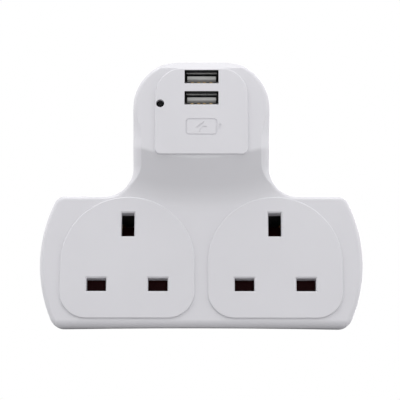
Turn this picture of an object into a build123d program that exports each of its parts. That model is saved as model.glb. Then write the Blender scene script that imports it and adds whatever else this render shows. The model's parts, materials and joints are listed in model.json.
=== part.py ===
"""Plug-in mains adapter: a T-shaped case with two socket outlets, a pair of charging ports and plug pins.

Frame: +X to the user's right, +Y back into the wall along the plug pins, +Z up. The origin lies on the
plug face, on the centre line, midway between the earth pin and the line pins. Sketches are drawn on planes
that face the user, so a distance is how far a plane stands in front of the plug face.
"""

import os
from math import atan2, cos, degrees, radians, sin, sqrt, tan

from build123d import *

# Plug and socket standard
pin_spacing = 22.23
line_pin_width = 6.35
line_pin_height = 4.0
line_pin_length = 17.7
earth_pin_width = 4.0
earth_pin_height = 8.0
earth_pin_length = 22.7
pin_tip = 1.0
pin_edge = 0.4
pin_fit = 0.1
pin_flange = 1.3
pin_flange_thickness = 1.6
sleeve_length = 9.5
sleeve_wall = 0.5
sleeve_seat = 2.0

# Sockets
socket_pitch = 53.5
socket_drop = 57.5
hole_clearance = 0.75
hole_chamfer = 0.5
well_depth = 5.0
collar_wall = 1.4
pad_half = 24.4
pad_arch_height = 8.2
pad_skirt = 12.3
pad_corner = 9.7
pad_rise = 0.6
raised_edge = 0.45

# Case outline
bar_half = 58.65
bar_above_line = 33.3
bar_below_line = 15.85
bar_bow = 0.5
bar_side_radius = 53.0
bar_top_corner = 4.3
bar_bottom_corner = 5.6
head_half = 25.1
head_top = 25.7
head_corner = 18.0
neck_radius = 10.3

# Case depth
plug_base_rise = 3.0
case_depth = 35.0
seam_setback = 3.4
head_rise = 8.0
head_edge = -11.9
head_edge_round = 3.0
cove_angle = 30.0
cove_radius = 20.0
cove_axis = 60.0
front_round = 1.8
chin_round = 3.2
back_edge = 1.2
bevel = 3.4
bar_draw_in = 8.6
head_taper = 3.0
wall = 2.4
lip_height = 0.85
lip_clearance = 0.15
seam_groove = 0.25

# Panel, charging ports and indicator on the head
panel_half = 17.0
panel_bottom = -10.95
panel_top_corner = 10.5
panel_bottom_corner = 2.3
panel_rise = 0.7
port_width = 12.5
port_height = 5.15
port_pitch = 8.2
port_centre = 14.65
port_shell_wall = 0.3
port_shell_corner = 0.5
port_fit = 0.1
tongue_width = 10.6
tongue_thickness = 1.84
tongue_lift = 0.83
tongue_bevel = 0.55
tongue_setback = 4.5
tongue_root = 3.0
port_contact_width = 1.0
port_contact_thickness = 0.25
port_contact_setback = 1.6
port_contact_spots = (-3.5, -1.0, 1.0, 3.5)
indicator_across = -15.15
indicator_height = 8.4
indicator_bore = 3.0
indicator_fit = 0.1
indicator_recess = 1.2
indicator_flange = 0.7
indicator_flange_thickness = 1.0
led_width = 3.0
led_height = 2.0
led_thickness = 1.6

# Plug base and fuse
base_half = 21.5
base_top = 22.0
base_bottom = -17.5
base_top_corner = 15.0
base_bottom_corner = 6.0
base_edge = 0.8
fuse_length = 25.4
fuse_radius = 3.175
fuse_cap_length = 6.0
fuse_cap_wall = 0.3
fuse_fit = 0.05
fuse_depth = 7.0
fuse_lift = -1.0
carrier_end = 1.7
carrier_side = 1.1
groove_fit = 0.125
groove_end_fit = 0.2
carrier_fit = 0.3
carrier_recess = 0.4
carrier_guide = 1.2
carrier_guide_rise = 3.4
pry_width = 5.0
pry_depth = 1.0
clip_width = 5.0
clip_thickness = 0.6
clip_room = 0.3
clip_grip = 2.5
clip_slot_room = 0.8
clip_setback = 0.7
clip_tab = 2.9

# Shutters and springs
slide_gap = 0.3
shutter_thickness = 1.8
shutter_lap = 0.8
shutter_margin = 0.2
stem_width = 7.0
ramp_width = 5.0
ramp_margin = 0.3
ramp_tail = 3.0
spring_boss_width = 6.0
spring_boss_height = 4.0
guide_thickness = 1.2
guide_low = 5.0
guide_high = 12.0
spring_radius = 1.6
spring_wire = 0.4
spring_turns = 4
spring_sides = 12
wire_sides = 6
spring_room = 7.6
spring_gap = 0.1
spring_peg = 1.1
spring_peg_length = 0.7
ledge_thickness = 0.8
bracket_thickness = 1.2

# Contacts
strip_thickness = 0.8
strip_width = 2.0
strip_offset = 4.0
bus_rib = 3.8
earth_strip_width = 6.0
earth_strip_lift = 4.4
riser_width = 4.0
leaf_thickness = 0.5
leaf_width = 6.0
leaf_pinch = 1.8
leaf_root = 1.9
leaf_mouth = 2.8
leaf_throat = 4.0
line_leaf_reach = 19.0
earth_leaf_reach = 12.0
chamber_half = 4.2
earth_chamber_half = 4.4
earth_chamber_low = 10.7
earth_chamber_top = 27.6
carrier_wall = 1.6
carrier_corner = 1.5

# Screws and bosses
screw_radius = 1.45
screw_fit = 0.05
screw_head_radius = 2.8
screw_head_height = 2.0
screw_length = 12.0
screw_tip_room = 1.0
screw_hole_fit = 0.25
screw_well_fit = 0.3
screw_seat = 14.0
boss_meeting = 18.0
front_boss_radius = 3.0
rear_boss_radius = 4.2
drive_width = 0.8
drive_length = 3.2
drive_depth = 1.0
end_screw_inset = 16.9
end_screw_rise = 16.0
neck_screw_inset = 5.6
neck_screw_rise = 0.7
middle_screw_rise = 15.0
post_radius = 1.2
board_post_radius = 2.6
board_screw_radius = 0.95
board_screw_head_radius = 1.9
board_screw_head_height = 1.3
board_screw_length = 8.0
board_hole_fit = 0.3
board_screw_spots = ((-16.5, -11.0), (16.5, -11.0))

# Charger
board_thickness = 1.6
board_half = 20.0
board_bottom = -16.0
board_top = 22.0
board_corner = 10.0
board_setback = 13.0
core_length = 16.0
core_depth = 13.0
core_stack = 5.0
core_leg = 4.2
core_yoke = 2.4
core_end = 2.8
bobbin_room = 0.1
bobbin_overhang = 2.0
transformer_spot = (9.5, 8.0)
input_capacitor_radius = 4.0
input_capacitor_room = 5.2
input_capacitor_spot = (-9.5, 5.5)
output_capacitor_radius = 3.15
output_capacitor_height = 9.0
output_capacitor_spot = (-8.0, 15.0)
can_edge = 0.5
can_groove = 0.3
can_groove_height = 1.4
chip_length = 5.0
chip_width = 4.0
chip_thickness = 1.5
chip_edge = 0.3
chip_spot = (8.0, -9.0)

# Leads
lead_radius = 0.9
lead_sides = 8
lead_bend = 2.4
lead_gap = 6.2
lead_room = 2.3
lead_stub = 3.5
lead_landing = 5.0
lead_edge_across = -17.5
lead_foot_across = -8.0

# Worked-out distances in front of the plug face
rear_face = plug_base_rise
rear_floor = rear_face + wall
bar_front = rear_face + case_depth
head_front = bar_front + head_rise
pad_front = bar_front + pad_rise
panel_front = head_front + panel_rise
bar_ceiling = bar_front - wall
head_ceiling = head_front - wall
seam = bar_front - seam_setback
well_floor = pad_front - well_depth
shutter_front = well_floor - slide_gap
shutter_back = shutter_front - shutter_thickness
carrier_front = shutter_back - slide_gap
bus_back = rear_floor + bus_rib
bus_front = bus_back + strip_thickness
earth_back = bus_back + earth_strip_lift
earth_front = earth_back + strip_thickness
board_front = head_ceiling - board_setback
board_back = board_front - board_thickness
port_shell_front = head_ceiling - port_fit
tongue_front = panel_front - tongue_setback
clip_base = fuse_depth + fuse_radius + clip_setback + clip_room
clip_front = clip_base + clip_thickness
input_capacitor_height = board_back - clip_front - input_capacitor_room
lead_run = earth_front + lead_radius + lead_room

# Worked-out places across the faces
pin_line = pin_spacing / 2
line_hole_width = line_pin_width + hole_clearance
line_hole_height = line_pin_height + hole_clearance
earth_hole_width = earth_pin_width + hole_clearance
earth_hole_height = earth_pin_height + hole_clearance
socket_centres = {"left": -socket_pitch / 2, "right": socket_pitch / 2}
port_heights = {"upper": port_centre + port_pitch / 2, "lower": port_centre - port_pitch / 2}
shutter_half_height = line_hole_height / 2 + shutter_lap
shutter_half_width = pin_line + line_hole_width / 2 + shutter_lap
shutter_travel = line_hole_height + shutter_lap + shutter_margin
ledge_top = shutter_half_height + spring_room
chamber_outer = chamber_half + carrier_wall
carrier_half = pin_line + chamber_outer
column_half = earth_chamber_half + carrier_wall
column_top = earth_chamber_top + carrier_wall
line_height = -socket_drop
bar_top = line_height + bar_above_line
bar_bottom = line_height - bar_below_line
bar_taper = degrees(atan2(bar_draw_in, seam - rear_face))
end_screw_spots = {
    "left": (-bar_half + end_screw_inset, line_height + end_screw_rise),
    "right": (bar_half - end_screw_inset, line_height + end_screw_rise),
}
cover_screw_spots = (
    (-head_half + neck_screw_inset, bar_top + neck_screw_rise),
    (head_half - neck_screw_inset, bar_top + neck_screw_rise),
    (0, line_height + middle_screw_rise),
)
case_screw_spots = (*end_screw_spots.values(), *cover_screw_spots)
pilot_depth = screw_seat + screw_length + screw_tip_room - boss_meeting
fuse_clip_offset = (fuse_length - fuse_cap_length) / 2
fuse_carrier_half = fuse_length / 2 + groove_end_fit + carrier_end
fuse_carrier_rise = fuse_radius + groove_fit + carrier_side
prong_inner = fuse_radius + clip_room
prong_outer = prong_inner + clip_thickness
spring_axis = (carrier_front + bar_ceiling) / 2
earth_pin_foot = pin_spacing - earth_pin_height / 2
ramp_foot = earth_pin_foot - ramp_margin
ramp_top = earth_pin_foot + shutter_travel - ramp_margin
ramp_rise = ramp_top - ramp_foot
core_window = (core_depth - core_leg - 2 * core_yoke) / 2


def facing(distance):
    """Plane that faces the user, this far in front of the plug face."""
    return Plane.XZ.offset(distance)


def plate(distance, width, height, *spots, corner=0.0):
    """Rectangles of one size at each spot, on a plane that faces the user."""
    with BuildSketch(facing(distance)) as sketch:
        with Locations(*spots):
            if corner:
                RectangleRounded(width, height, corner)
            else:
                Rectangle(width, height)
    return sketch.sketch


def disc(distance, radius, *spots):
    """Circles of one size at each spot, on a plane that faces the user."""
    with BuildSketch(facing(distance)) as sketch:
        with Locations(*spots):
            Circle(radius)
    return sketch.sketch


def frame_plate(distance, left, right, low, high):
    """One rectangle given by its sides."""
    return plate(distance, right - left, high - low, ((left + right) / 2, (low + high) / 2))


def save(piece, name):
    """Label a finished piece and write it under its own name."""
    piece.label = name
    export_step(piece, f"parts/{name}.step")


def case_outline(inset=0.0, rounded=True):
    """T-shaped section of the case at the seam, drawn in by an inset; the bar's corners may stay sharp."""
    half = bar_half - inset
    top = bar_top - inset
    bottom = bar_bottom + inset
    middle = (top + bottom) / 2
    bulge = bar_side_radius - inset
    corner = half - bulge + sqrt(bulge**2 - ((top - bottom) / 2) ** 2)
    side = head_half - inset
    crown = head_top - inset
    with BuildSketch(facing(seam)) as outline:
        with BuildLine():
            Line((-corner, top), (corner, top))
            ThreePointArc((corner, top), (half, middle), (corner, bottom))
            ThreePointArc((corner, bottom), (0, bottom + bar_bow), (-corner, bottom))
            ThreePointArc((-corner, bottom), (-half, middle), (-corner, top))
        make_face()
        if rounded:
            fillet(outline.vertices().group_by(Axis.Y)[-1], bar_top_corner - inset)
            fillet(outline.vertices().group_by(Axis.Y)[0], bar_bottom_corner - inset)
        with Locations((0, (crown + middle) / 2)):
            Rectangle(2 * side, crown - middle)
        fillet(outline.vertices().group_by(Axis.Y)[-1], head_corner - inset)
        inner_corners = outline.vertices().filter_by(
            lambda v: abs(abs(v.X) - side) < pin_fit and abs(v.Y - top) < pin_fit
        )
        fillet(inner_corners, neck_radius + inset)
    return outline.sketch


def front_block(inset=0.0, foot=seam):
    """Solid of the front shell, drawn in by an inset and carried back to a foot.

    The cove under the head is a cone that runs out on the bar's face in an arc. It is turned about an
    axis that stands square to the face, high above the head.
    """
    slope = radians(cove_angle)
    run = (head_rise - cove_radius * (1 - cos(slope))) / tan(slope)
    start = head_edge - run - cove_radius * sin(slope)
    reach = cove_radius + inset

    def on_arc(angle):
        return (reach * cos(angle) - bar_front - cove_radius, start + reach * sin(angle))

    heel = on_arc(0)
    shoulder = on_arc(slope)
    beyond = -head_front - cove_radius
    tip = (beyond, shoulder[1] + (shoulder[0] - beyond) / tan(slope))
    low = cove_axis - 2 * (cove_axis - bar_bottom)
    with BuildPart() as block:
        section = case_outline(inset).moved(Location((0, seam - foot, 0)))
        extrude(section, amount=head_front - inset - foot)
        with BuildSketch(Plane.YZ) as cove:
            with BuildLine():
                Line((heel[0], low), heel)
                ThreePointArc(heel, on_arc(slope / 2), shoulder)
                Line(shoulder, tip)
                Line(tip, (beyond, low))
                Line((beyond, low), (heel[0], low))
            make_face()
        revolve(cove.sketch, axis=Axis((0, 0, cove_axis), (0, 1, 0)), mode=Mode.SUBTRACT)
    return block.part


def rear_block(inset, floor):
    """Solid of the rear shell, drawn in by an inset; its walls lean in from the seam back to the floor."""
    with BuildPart() as block:
        extrude(case_outline(inset, rounded=False), amount=floor - seam)
        head_walls = [wall_face for wall_face in side_walls(block) if not on_bar(wall_face)]
        draft(head_walls, facing(seam), -head_taper)
        bar_walls = [wall_face for wall_face in side_walls(block) if on_bar(wall_face)]
        draft(bar_walls, facing(seam), -bar_taper)
    return block.part


def side_walls(block):
    """Faces that run back from the seam."""
    return [face for face in block.faces() if face.bounding_box().size.Y > seam_setback]


def on_bar(face):
    """True for the bar's two ends and its underside."""
    return face.bounding_box().min.Z < bar_top - neck_radius


def bar_corners(block, low, high):
    """Edges that run back from the seam along the bar's ends, between two heights."""
    across = head_half + neck_radius
    runs_back = block.edges().filter_by(lambda e: e.bounding_box().size.Y > seam_setback)
    return runs_back.filter_by(lambda e: abs((e @ 0.5).X) > across and low < (e @ 0.5).Z < high)


def pad_outline(distance, centre):
    """Outline of one socket pad: an arch over a base with rounded corners."""
    left = centre - pad_half
    right = centre + pad_half
    spring_line = line_height + pad_arch_height
    bottom = line_height - pad_skirt
    with BuildSketch(facing(distance)) as outline:
        with BuildLine():
            ThreePointArc((left, spring_line), (centre, spring_line + pad_half), (right, spring_line))
            Polyline((right, spring_line), (right, bottom), (left, bottom), (left, spring_line))
        make_face()
        fillet(outline.vertices().group_by(Axis.Y)[0], pad_corner)
    return outline.sketch


def socket_plate(side):
    """Plate of one socket: a raised pad with collared holes, and posts, guides and a boss behind it."""
    centre = socket_centres[side]
    level = line_height + chamber_half + carrier_wall / 2
    column = column_half - carrier_wall / 2
    rests = [(across, level) for across in (centre - pin_line, centre + pin_line)]
    rests += [(centre + way * column, line_height + pin_spacing) for way in (-1, 1)]
    offset_in = (stem_width + guide_thickness) / 2 + slide_gap
    guides = [(centre + way * offset_in, line_height + (guide_low + guide_high) / 2) for way in (-1, 1)]
    rails = plate(carrier_front, guide_thickness, guide_high - guide_low, *guides)
    with BuildPart() as piece:
        extrude(pad_outline(bar_ceiling, centre), amount=pad_front - bar_ceiling)
        fillet(piece.faces().sort_by(Axis.Y)[0].edges(), raised_edge)
        extrude(disc(carrier_front, post_radius, *rests), amount=bar_ceiling - carrier_front)
        extrude(rails, amount=bar_ceiling - carrier_front)
        boss = disc(boss_meeting, front_boss_radius, end_screw_spots[side])
        extrude(boss, amount=bar_ceiling - boss_meeting)
        for width, height, spots in (
            (line_hole_width, line_hole_height, line_spots(centre)),
            (earth_hole_width, earth_hole_height, [earth_spot(centre)]),
        ):
            collars = plate(well_floor, width + 2 * collar_wall, height + 2 * collar_wall, *spots)
            extrude(collars, amount=bar_ceiling - well_floor)
            for spot in spots:
                add(opened_hole(width, height, spot), mode=Mode.SUBTRACT)
        pilot = disc(boss_meeting, screw_radius + screw_fit, end_screw_spots[side])
        extrude(pilot, amount=pilot_depth, mode=Mode.SUBTRACT)
    return piece.part


def panel_outline(distance):
    """Outline of the head's panel, its top corners rounded like the head's."""
    with BuildSketch(facing(distance)) as outline:
        with Locations((0, (head_top - bevel + panel_bottom) / 2)):
            Rectangle(2 * panel_half, head_top - bevel - panel_bottom)
        fillet(outline.vertices().group_by(Axis.Y)[-1], panel_top_corner)
        fillet(outline.vertices().group_by(Axis.Y)[0], panel_bottom_corner)
    return outline.sketch


def bevel_cut():
    """Wedge that planes the head's top front edge down to a flat facet."""
    facet = head_front + head_top - bevel
    ahead = head_front + 2 * bevel
    above = head_top + 2 * bevel
    with BuildPart() as wedge:
        with BuildSketch(Plane.YZ) as profile:
            with BuildLine():
                Polyline((-ahead, facet - ahead), (above - facet, above), (-ahead, above), close=True)
            make_face()
        extrude(profile.sketch, amount=head_half, both=True)
    return wedge.part


def chin_cut():
    """Block with a hollow round that softens the bar's lower front edge."""
    level = bar_bottom + chin_round
    back = chin_round - bar_front
    ahead = -bar_front - chin_round
    below = bar_bottom - chin_round
    part_way = chin_round * cos(radians(45))
    with BuildPart() as cutter:
        with BuildSketch(Plane.YZ) as profile:
            with BuildLine():
                ThreePointArc((-bar_front, level), (back - part_way, level - part_way), (back, bar_bottom))
                outside = ((back, bar_bottom), (back, below), (ahead, below), (ahead, level))
                Polyline(*outside, (-bar_front, level))
            make_face()
        extrude(profile.sketch, amount=bar_half, both=True)
    return cutter.part


def line_spots(centre):
    """Places of one socket's neutral and live holes."""
    return (centre - pin_line, line_height), (centre + pin_line, line_height)


def earth_spot(centre):
    """Place of one socket's earth hole."""
    return (centre, line_height + pin_spacing)


def opened_hole(width, height, spot):
    """Pin hole through the pad, its edge opened by a chamfer."""
    with BuildPart() as hole:
        extrude(plate(well_floor, width, height, spot), amount=pad_front - well_floor)
        chamfer_foot = plate(pad_front - hole_chamfer, width, height, spot)
        chamfer_mouth = plate(pad_front, width + 2 * hole_chamfer, height + 2 * hole_chamfer, spot)
        loft([chamfer_foot, chamfer_mouth], ruled=True)
    return hole.part


def base_outline(distance):
    """Outline of the raised plug base."""
    with BuildSketch(facing(distance)) as outline:
        with Locations((0, (base_top + base_bottom) / 2)):
            Rectangle(2 * base_half, base_top - base_bottom)
        fillet(outline.vertices().group_by(Axis.Y)[-1], base_top_corner)
        fillet(outline.vertices().group_by(Axis.Y)[0], base_bottom_corner)
    return outline.sketch


def leaf_pair(plane, root, reach):
    """Two facing contact leaves that close to a throat and open at the mouth.

    The plane's x axis runs back towards the wall and its y axis across the leaves.
    """
    throat = root + reach - leaf_throat
    mouth = root + reach
    with BuildPart() as leaves:
        for sign in (1, -1):
            with BuildSketch(plane) as profile:
                with BuildLine():
                    Polyline(
                        (-root, sign * leaf_root),
                        (-throat, sign * leaf_pinch),
                        (-mouth, sign * leaf_mouth),
                        (-mouth, sign * (leaf_mouth + leaf_thickness)),
                        (-throat, sign * (leaf_pinch + leaf_thickness)),
                        (-root, sign * (leaf_root + leaf_thickness)),
                        close=True,
                    )
                make_face()
            extrude(profile.sketch, amount=leaf_width / 2, both=True)
    return leaves.part


def line_contact(across):
    """Contact leaves for one line pin, above and below it."""
    plane = Plane(origin=(across, 0, line_height), x_dir=(0, 1, 0), z_dir=(1, 0, 0))
    return leaf_pair(plane, bus_front, line_leaf_reach)


def earth_contact(across):
    """Contact leaves for an earth pin, on both sides of it."""
    plane = Plane(origin=(across, 0, line_height + pin_spacing), x_dir=(0, 1, 0), z_dir=(0, 0, 1))
    return leaf_pair(plane, earth_front, earth_leaf_reach)


def line_strip(side, live):
    """Strip that joins the clips of one pole, below the clips for live and above them for neutral."""
    clips = [centre + side * pin_line for centre in socket_centres.values()]
    edge = leaf_root + leaf_thickness
    far = strip_offset + strip_width
    with BuildPart() as strip:
        low, high = (-far, -strip_offset) if live else (strip_offset, far)
        left = min(clips) - leaf_width / 2
        right = max(clips) + leaf_width / 2
        run = frame_plate(bus_back, left, right, line_height + low, line_height + high)
        extrude(run, amount=strip_thickness)
        for clip in clips:
            foot, head = (-strip_offset, edge) if live else (-edge, strip_offset)
            tab = frame_plate(
                bus_back, clip - leaf_width / 2, clip + leaf_width / 2, line_height + foot, line_height + head
            )
            extrude(tab, amount=strip_thickness)
            add(line_contact(clip))
    return strip.part


def fuse_clip(across):
    """Sprung U that grips one fuse cap, open towards the plug face."""
    left = across - clip_width / 2
    right = across + clip_width / 2
    back = fuse_depth - clip_grip
    with BuildPart() as clip:
        base = frame_plate(clip_base, left, right, fuse_lift - prong_outer, fuse_lift + prong_outer)
        extrude(base, amount=clip_thickness)
        for low, high in ((-prong_outer, -prong_inner), (prong_inner, prong_outer)):
            prong = frame_plate(back, left, right, fuse_lift + low, fuse_lift + high)
            extrude(prong, amount=clip_front - back)
    return clip.part


def pin_blade(length, width, height, spot, inner_end):
    """Plug pin with a bevelled tip, and a flange that rests on the rear shell's floor."""
    with BuildPart() as blade:
        point = plate(-length, width - 2 * pin_tip, height - 2 * pin_tip, spot, corner=pin_edge)
        shoulder = plate(pin_tip - length, width, height, spot, corner=pin_edge)
        loft([point, shoulder], ruled=True)
        extrude(shoulder, amount=length - pin_tip + inner_end)
        flange = plate(rear_floor, width + 2 * pin_flange, height + 2 * pin_flange, spot, corner=pin_edge)
        extrude(flange, amount=pin_flange_thickness)
    return blade.part


def line_pin(side, inner_end):
    """Live or neutral pin, necked where its sleeve sits."""
    spot = (side * pin_line, -pin_line)
    core_width = line_pin_width - 2 * sleeve_wall
    core_height = line_pin_height - 2 * sleeve_wall
    with BuildPart() as pin:
        add(pin_blade(line_pin_length, line_pin_width, line_pin_height, spot, inner_end))
        with BuildSketch(facing(-sleeve_length)) as neck:
            with Locations(spot):
                Rectangle(2 * line_pin_width, 2 * line_pin_height)
                RectangleRounded(core_width, core_height, pin_edge, mode=Mode.SUBTRACT)
        extrude(neck.sketch, amount=sleeve_length + sleeve_seat, mode=Mode.SUBTRACT)
    return pin.part


def pin_sleeve(side):
    """Insulating sleeve on the part of a line pin next to the plug face."""
    spot = (side * pin_line, -pin_line)
    with BuildPart() as sleeve:
        with BuildSketch(facing(-sleeve_length)) as ring:
            with Locations(spot):
                RectangleRounded(line_pin_width, line_pin_height, pin_edge)
                RectangleRounded(
                    line_pin_width - 2 * sleeve_wall,
                    line_pin_height - 2 * sleeve_wall,
                    pin_edge,
                    mode=Mode.SUBTRACT,
                )
        extrude(ring.sketch, amount=sleeve_length + sleeve_seat)
    return sleeve.part


def shutter(centre):
    """Shutter of one socket: a blade over both line holes, a stem, and a ramp behind the earth hole."""
    drop = shutter_thickness * sqrt(2)
    with BuildPart() as blade:
        wings = plate(
            shutter_back,
            2 * shutter_half_width,
            2 * shutter_half_height,
            (centre, line_height),
            corner=shutter_lap,
        )
        extrude(wings, amount=shutter_thickness)
        stem = frame_plate(
            shutter_back,
            centre - stem_width / 2,
            centre + stem_width / 2,
            line_height,
            line_height + ramp_foot,
        )
        extrude(stem, amount=shutter_thickness)
        foot = line_height - shutter_half_height
        half = spring_boss_width / 2
        boss = frame_plate(shutter_back, centre - half, centre + half, foot, foot + spring_boss_height)
        extrude(boss, amount=bar_ceiling - slide_gap - shutter_back)
        with BuildSketch(Plane(origin=(centre, -spring_axis, foot), z_dir=(0, 0, -1))) as peg:
            Circle(spring_peg)
        extrude(peg.sketch, amount=spring_peg_length)
        with BuildSketch(Plane(origin=(centre, 0, line_height), x_dir=(0, 1, 0), z_dir=(1, 0, 0))) as ramp:
            with BuildLine():
                Polyline(
                    (-shutter_front, ramp_foot - ramp_tail),
                    (-shutter_front, ramp_foot),
                    (ramp_rise - shutter_front, ramp_top),
                    (ramp_rise - shutter_front, ramp_top - drop),
                    (-shutter_back, ramp_foot + shutter_thickness - drop),
                    (-shutter_back, ramp_foot - ramp_tail),
                    close=True,
                )
            make_face()
        extrude(ramp.sketch, amount=ramp_width / 2, both=True)
    return blade.part


def shutter_spring(centre):
    """Coil spring that lifts a shutter, wound in short straight lengths, on its carrier's ledge."""
    height = spring_room - spring_wire - 2 * spring_gap
    foot = line_height - ledge_top + spring_wire / 2 + spring_gap
    lengths = spring_turns * spring_sides
    coil = []
    for step in range(lengths + 1):
        turn = radians(360 * step / spring_sides)
        across = centre + spring_radius * cos(turn)
        coil.append((across, spring_radius * sin(turn) - spring_axis, foot + height * step / lengths))
    with BuildPart() as spring:
        with BuildLine() as path:
            Polyline(*coil)
        with BuildSketch(Plane(path.line @ 0, z_dir=path.line % 0)):
            RegularPolygon(spring_wire / 2, wire_sides)
        sweep(path=path.line, transition=Transition.RIGHT)
    return spring.part


def contact_carrier(centre):
    """Insulating block of one socket: chambers round the clips, and a ledge for the shutter's spring."""
    half = spring_boss_width / 2
    ledge_foot = line_height - ledge_top - ledge_thickness
    earth_height = line_height + pin_spacing
    with BuildPart() as carrier:
        with BuildSketch(facing(bus_front)) as outline:
            with Locations((centre, line_height)):
                RectangleRounded(2 * carrier_half, 2 * chamber_outer, carrier_corner)
            with Locations((centre, line_height + column_top / 2)):
                Rectangle(2 * column_half, column_top)
        extrude(outline.sketch, amount=carrier_front - bus_front)
        bracket = frame_plate(
            carrier_front - bracket_thickness,
            centre - half,
            centre + half,
            ledge_foot,
            line_height - chamber_half,
        )
        extrude(bracket, amount=bracket_thickness)
        upper = ledge_foot + ledge_thickness
        ledge = frame_plate(carrier_front, centre - half, centre + half, ledge_foot, upper)
        extrude(ledge, amount=bar_ceiling - slide_gap - carrier_front)
        with BuildSketch(Plane.XY.offset(line_height - ledge_top)) as peg:
            with Locations((centre, -spring_axis)):
                Circle(spring_peg)
        extrude(peg.sketch, amount=spring_peg_length)
        depth = carrier_front - bus_front
        line_chambers = plate(bus_front, 2 * chamber_half, 2 * chamber_half, *line_spots(centre))
        extrude(line_chambers, amount=depth, mode=Mode.SUBTRACT)
        earth_chamber = frame_plate(
            bus_front,
            centre - earth_chamber_half,
            centre + earth_chamber_half,
            line_height + earth_chamber_low,
            line_height + earth_chamber_top,
        )
        extrude(earth_chamber, amount=depth, mode=Mode.SUBTRACT)
        notch = plate(bus_front, 2 * column_half, earth_strip_width + 2 * slide_gap, (centre, earth_height))
        extrude(notch, amount=earth_front + slide_gap - bus_front, mode=Mode.SUBTRACT)
    return carrier.part


def port_shell(height):
    """Pressed metal sleeve of one charging port."""
    with BuildPart() as shell:
        with BuildSketch(facing(board_front)) as ring:
            with Locations((0, height)):
                RectangleRounded(
                    port_width + 2 * port_shell_wall, port_height + 2 * port_shell_wall, port_shell_corner
                )
                Rectangle(port_width, port_height, mode=Mode.SUBTRACT)
        extrude(ring.sketch, amount=port_shell_front - board_front)
    return shell.part


def port_tongue(height):
    """Insulating tongue of one charging port, on a root that fills the sleeve's back."""
    with BuildPart() as tongue:
        root = plate(board_front, port_width - 2 * port_fit, port_height - 2 * port_fit, (0, height))
        extrude(root, amount=tongue_root)
        blade = plate(board_front, tongue_width, tongue_thickness, (0, height + tongue_lift))
        extrude(blade, amount=tongue_front - board_front)
        tip = tongue.faces().sort_by(Axis.Y)[0]
        chamfer(tip.edges().sort_by(Axis.Z)[0], tongue_bevel)
    return tongue.part


def port_contacts(height):
    """Contact strips under one port's tongue."""
    level = height + tongue_lift - (tongue_thickness + port_contact_thickness) / 2
    root = board_front + tongue_root
    with BuildPart() as contacts:
        spots = [(across, level) for across in port_contact_spots]
        strips = plate(root, port_contact_width, port_contact_thickness, *spots)
        extrude(strips, amount=tongue_front - port_contact_setback - root)
    return contacts.part


def capacitor(spot, radius, height):
    """Can capacitor that stands on the back of the board, with a rolled groove near its foot."""
    with BuildPart() as can:
        extrude(disc(board_back - height, radius, spot), amount=height)
        chamfer(can.faces().sort_by(Axis.Y)[-1].edges(), can_edge)
        with BuildSketch(facing(board_back - can_groove_height)) as groove:
            with Locations(spot):
                Circle(radius)
                Circle(radius - can_groove, mode=Mode.SUBTRACT)
        extrude(groove.sketch, amount=can_groove, mode=Mode.SUBTRACT)
    return can.part


def screw(spot, seat, length, radius, head_radius, head_height):
    """Pan-head screw driven towards the user, its head's underside on the seat."""
    scale = head_radius / screw_head_radius
    with BuildPart() as body:
        extrude(disc(seat - head_height, head_radius, spot), amount=head_height)
        chamfer(body.faces().sort_by(Axis.Y)[-1].edges(), head_height / 3)
        extrude(disc(seat, radius, spot), amount=length)
        chamfer(body.faces().sort_by(Axis.Y)[0].edges(), radius / 2)
        for width, height in ((drive_length, drive_width), (drive_width, drive_length)):
            slot = plate(seat - head_height, width * scale, height * scale, spot)
            extrude(slot, amount=drive_depth * scale, mode=Mode.SUBTRACT)
    return body.part


def lead(points):
    """Insulated wire along straight runs with rounded bends; points are across, forward, up."""
    route = [(across, -forward, up) for across, forward, up in points]
    with BuildPart() as wire:
        with BuildLine() as path:
            FilletPolyline(*route, radius=lead_bend)
        with BuildSketch(Plane(path.line @ 0, z_dir=path.line % 0)):
            RegularPolygon(lead_radius, lead_sides)
        sweep(path=path.line)
    return wire.part


def is_front_rim(edge):
    """True for the edges where the front shell's faces meet its side walls."""
    middle = edge @ 0.5
    behind = edge.bounding_box().max.Y > -seam - pin_fit
    crosses = abs(middle.X) < pin_fit and bar_bottom + front_round < middle.Z < head_top - front_round
    return not behind and not crosses


os.makedirs("parts", exist_ok=True)

# Posts inside the front shell: screw bosses and board posts
with BuildPart() as posts:
    extrude(disc(boss_meeting, front_boss_radius, *cover_screw_spots), amount=head_front - boss_meeting)
    extrude(disc(board_front, board_post_radius, *board_screw_spots), amount=head_front - board_front)
    add(front_block(wall / 2, boss_meeting), mode=Mode.INTERSECT)

# Front shell, with windows for the socket plates and the head's panel
with BuildPart() as front_cover:
    add(front_block())
    lower_edge = front_cover.edges().filter_by(
        lambda e: abs((e @ 0.5).X) < pin_fit
        and abs((e @ 0.5).Y + head_front) < pin_fit
        and (e @ 0.5).Z < 0
    )
    fillet(lower_edge, head_edge_round)
    fillet(front_cover.edges().filter_by(is_front_rim), front_round)
    chamfer(front_cover.edges().group_by(Axis.Y)[-1], seam_groove)
    add(bevel_cut(), mode=Mode.SUBTRACT)
    add(chin_cut(), mode=Mode.SUBTRACT)
    add(front_block(wall), mode=Mode.SUBTRACT)
    extrude(case_outline(wall / 2), amount=lip_height + lip_clearance, mode=Mode.SUBTRACT)
    add(posts.part)
    pilots = disc(boss_meeting, screw_radius + screw_fit, *cover_screw_spots)
    extrude(pilots, amount=pilot_depth, mode=Mode.SUBTRACT)
    board_pilot_depth = board_screw_length + screw_tip_room - board_thickness
    board_pilots = disc(board_front, board_screw_radius + screw_fit, *board_screw_spots)
    extrude(board_pilots, amount=board_pilot_depth, mode=Mode.SUBTRACT)
    for centre in socket_centres.values():
        extrude(pad_outline(bar_ceiling, centre), amount=head_front - bar_ceiling, mode=Mode.SUBTRACT)
    extrude(panel_outline(head_ceiling), amount=panel_rise + wall, mode=Mode.SUBTRACT)
save(front_cover.part, "front_cover")

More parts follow.
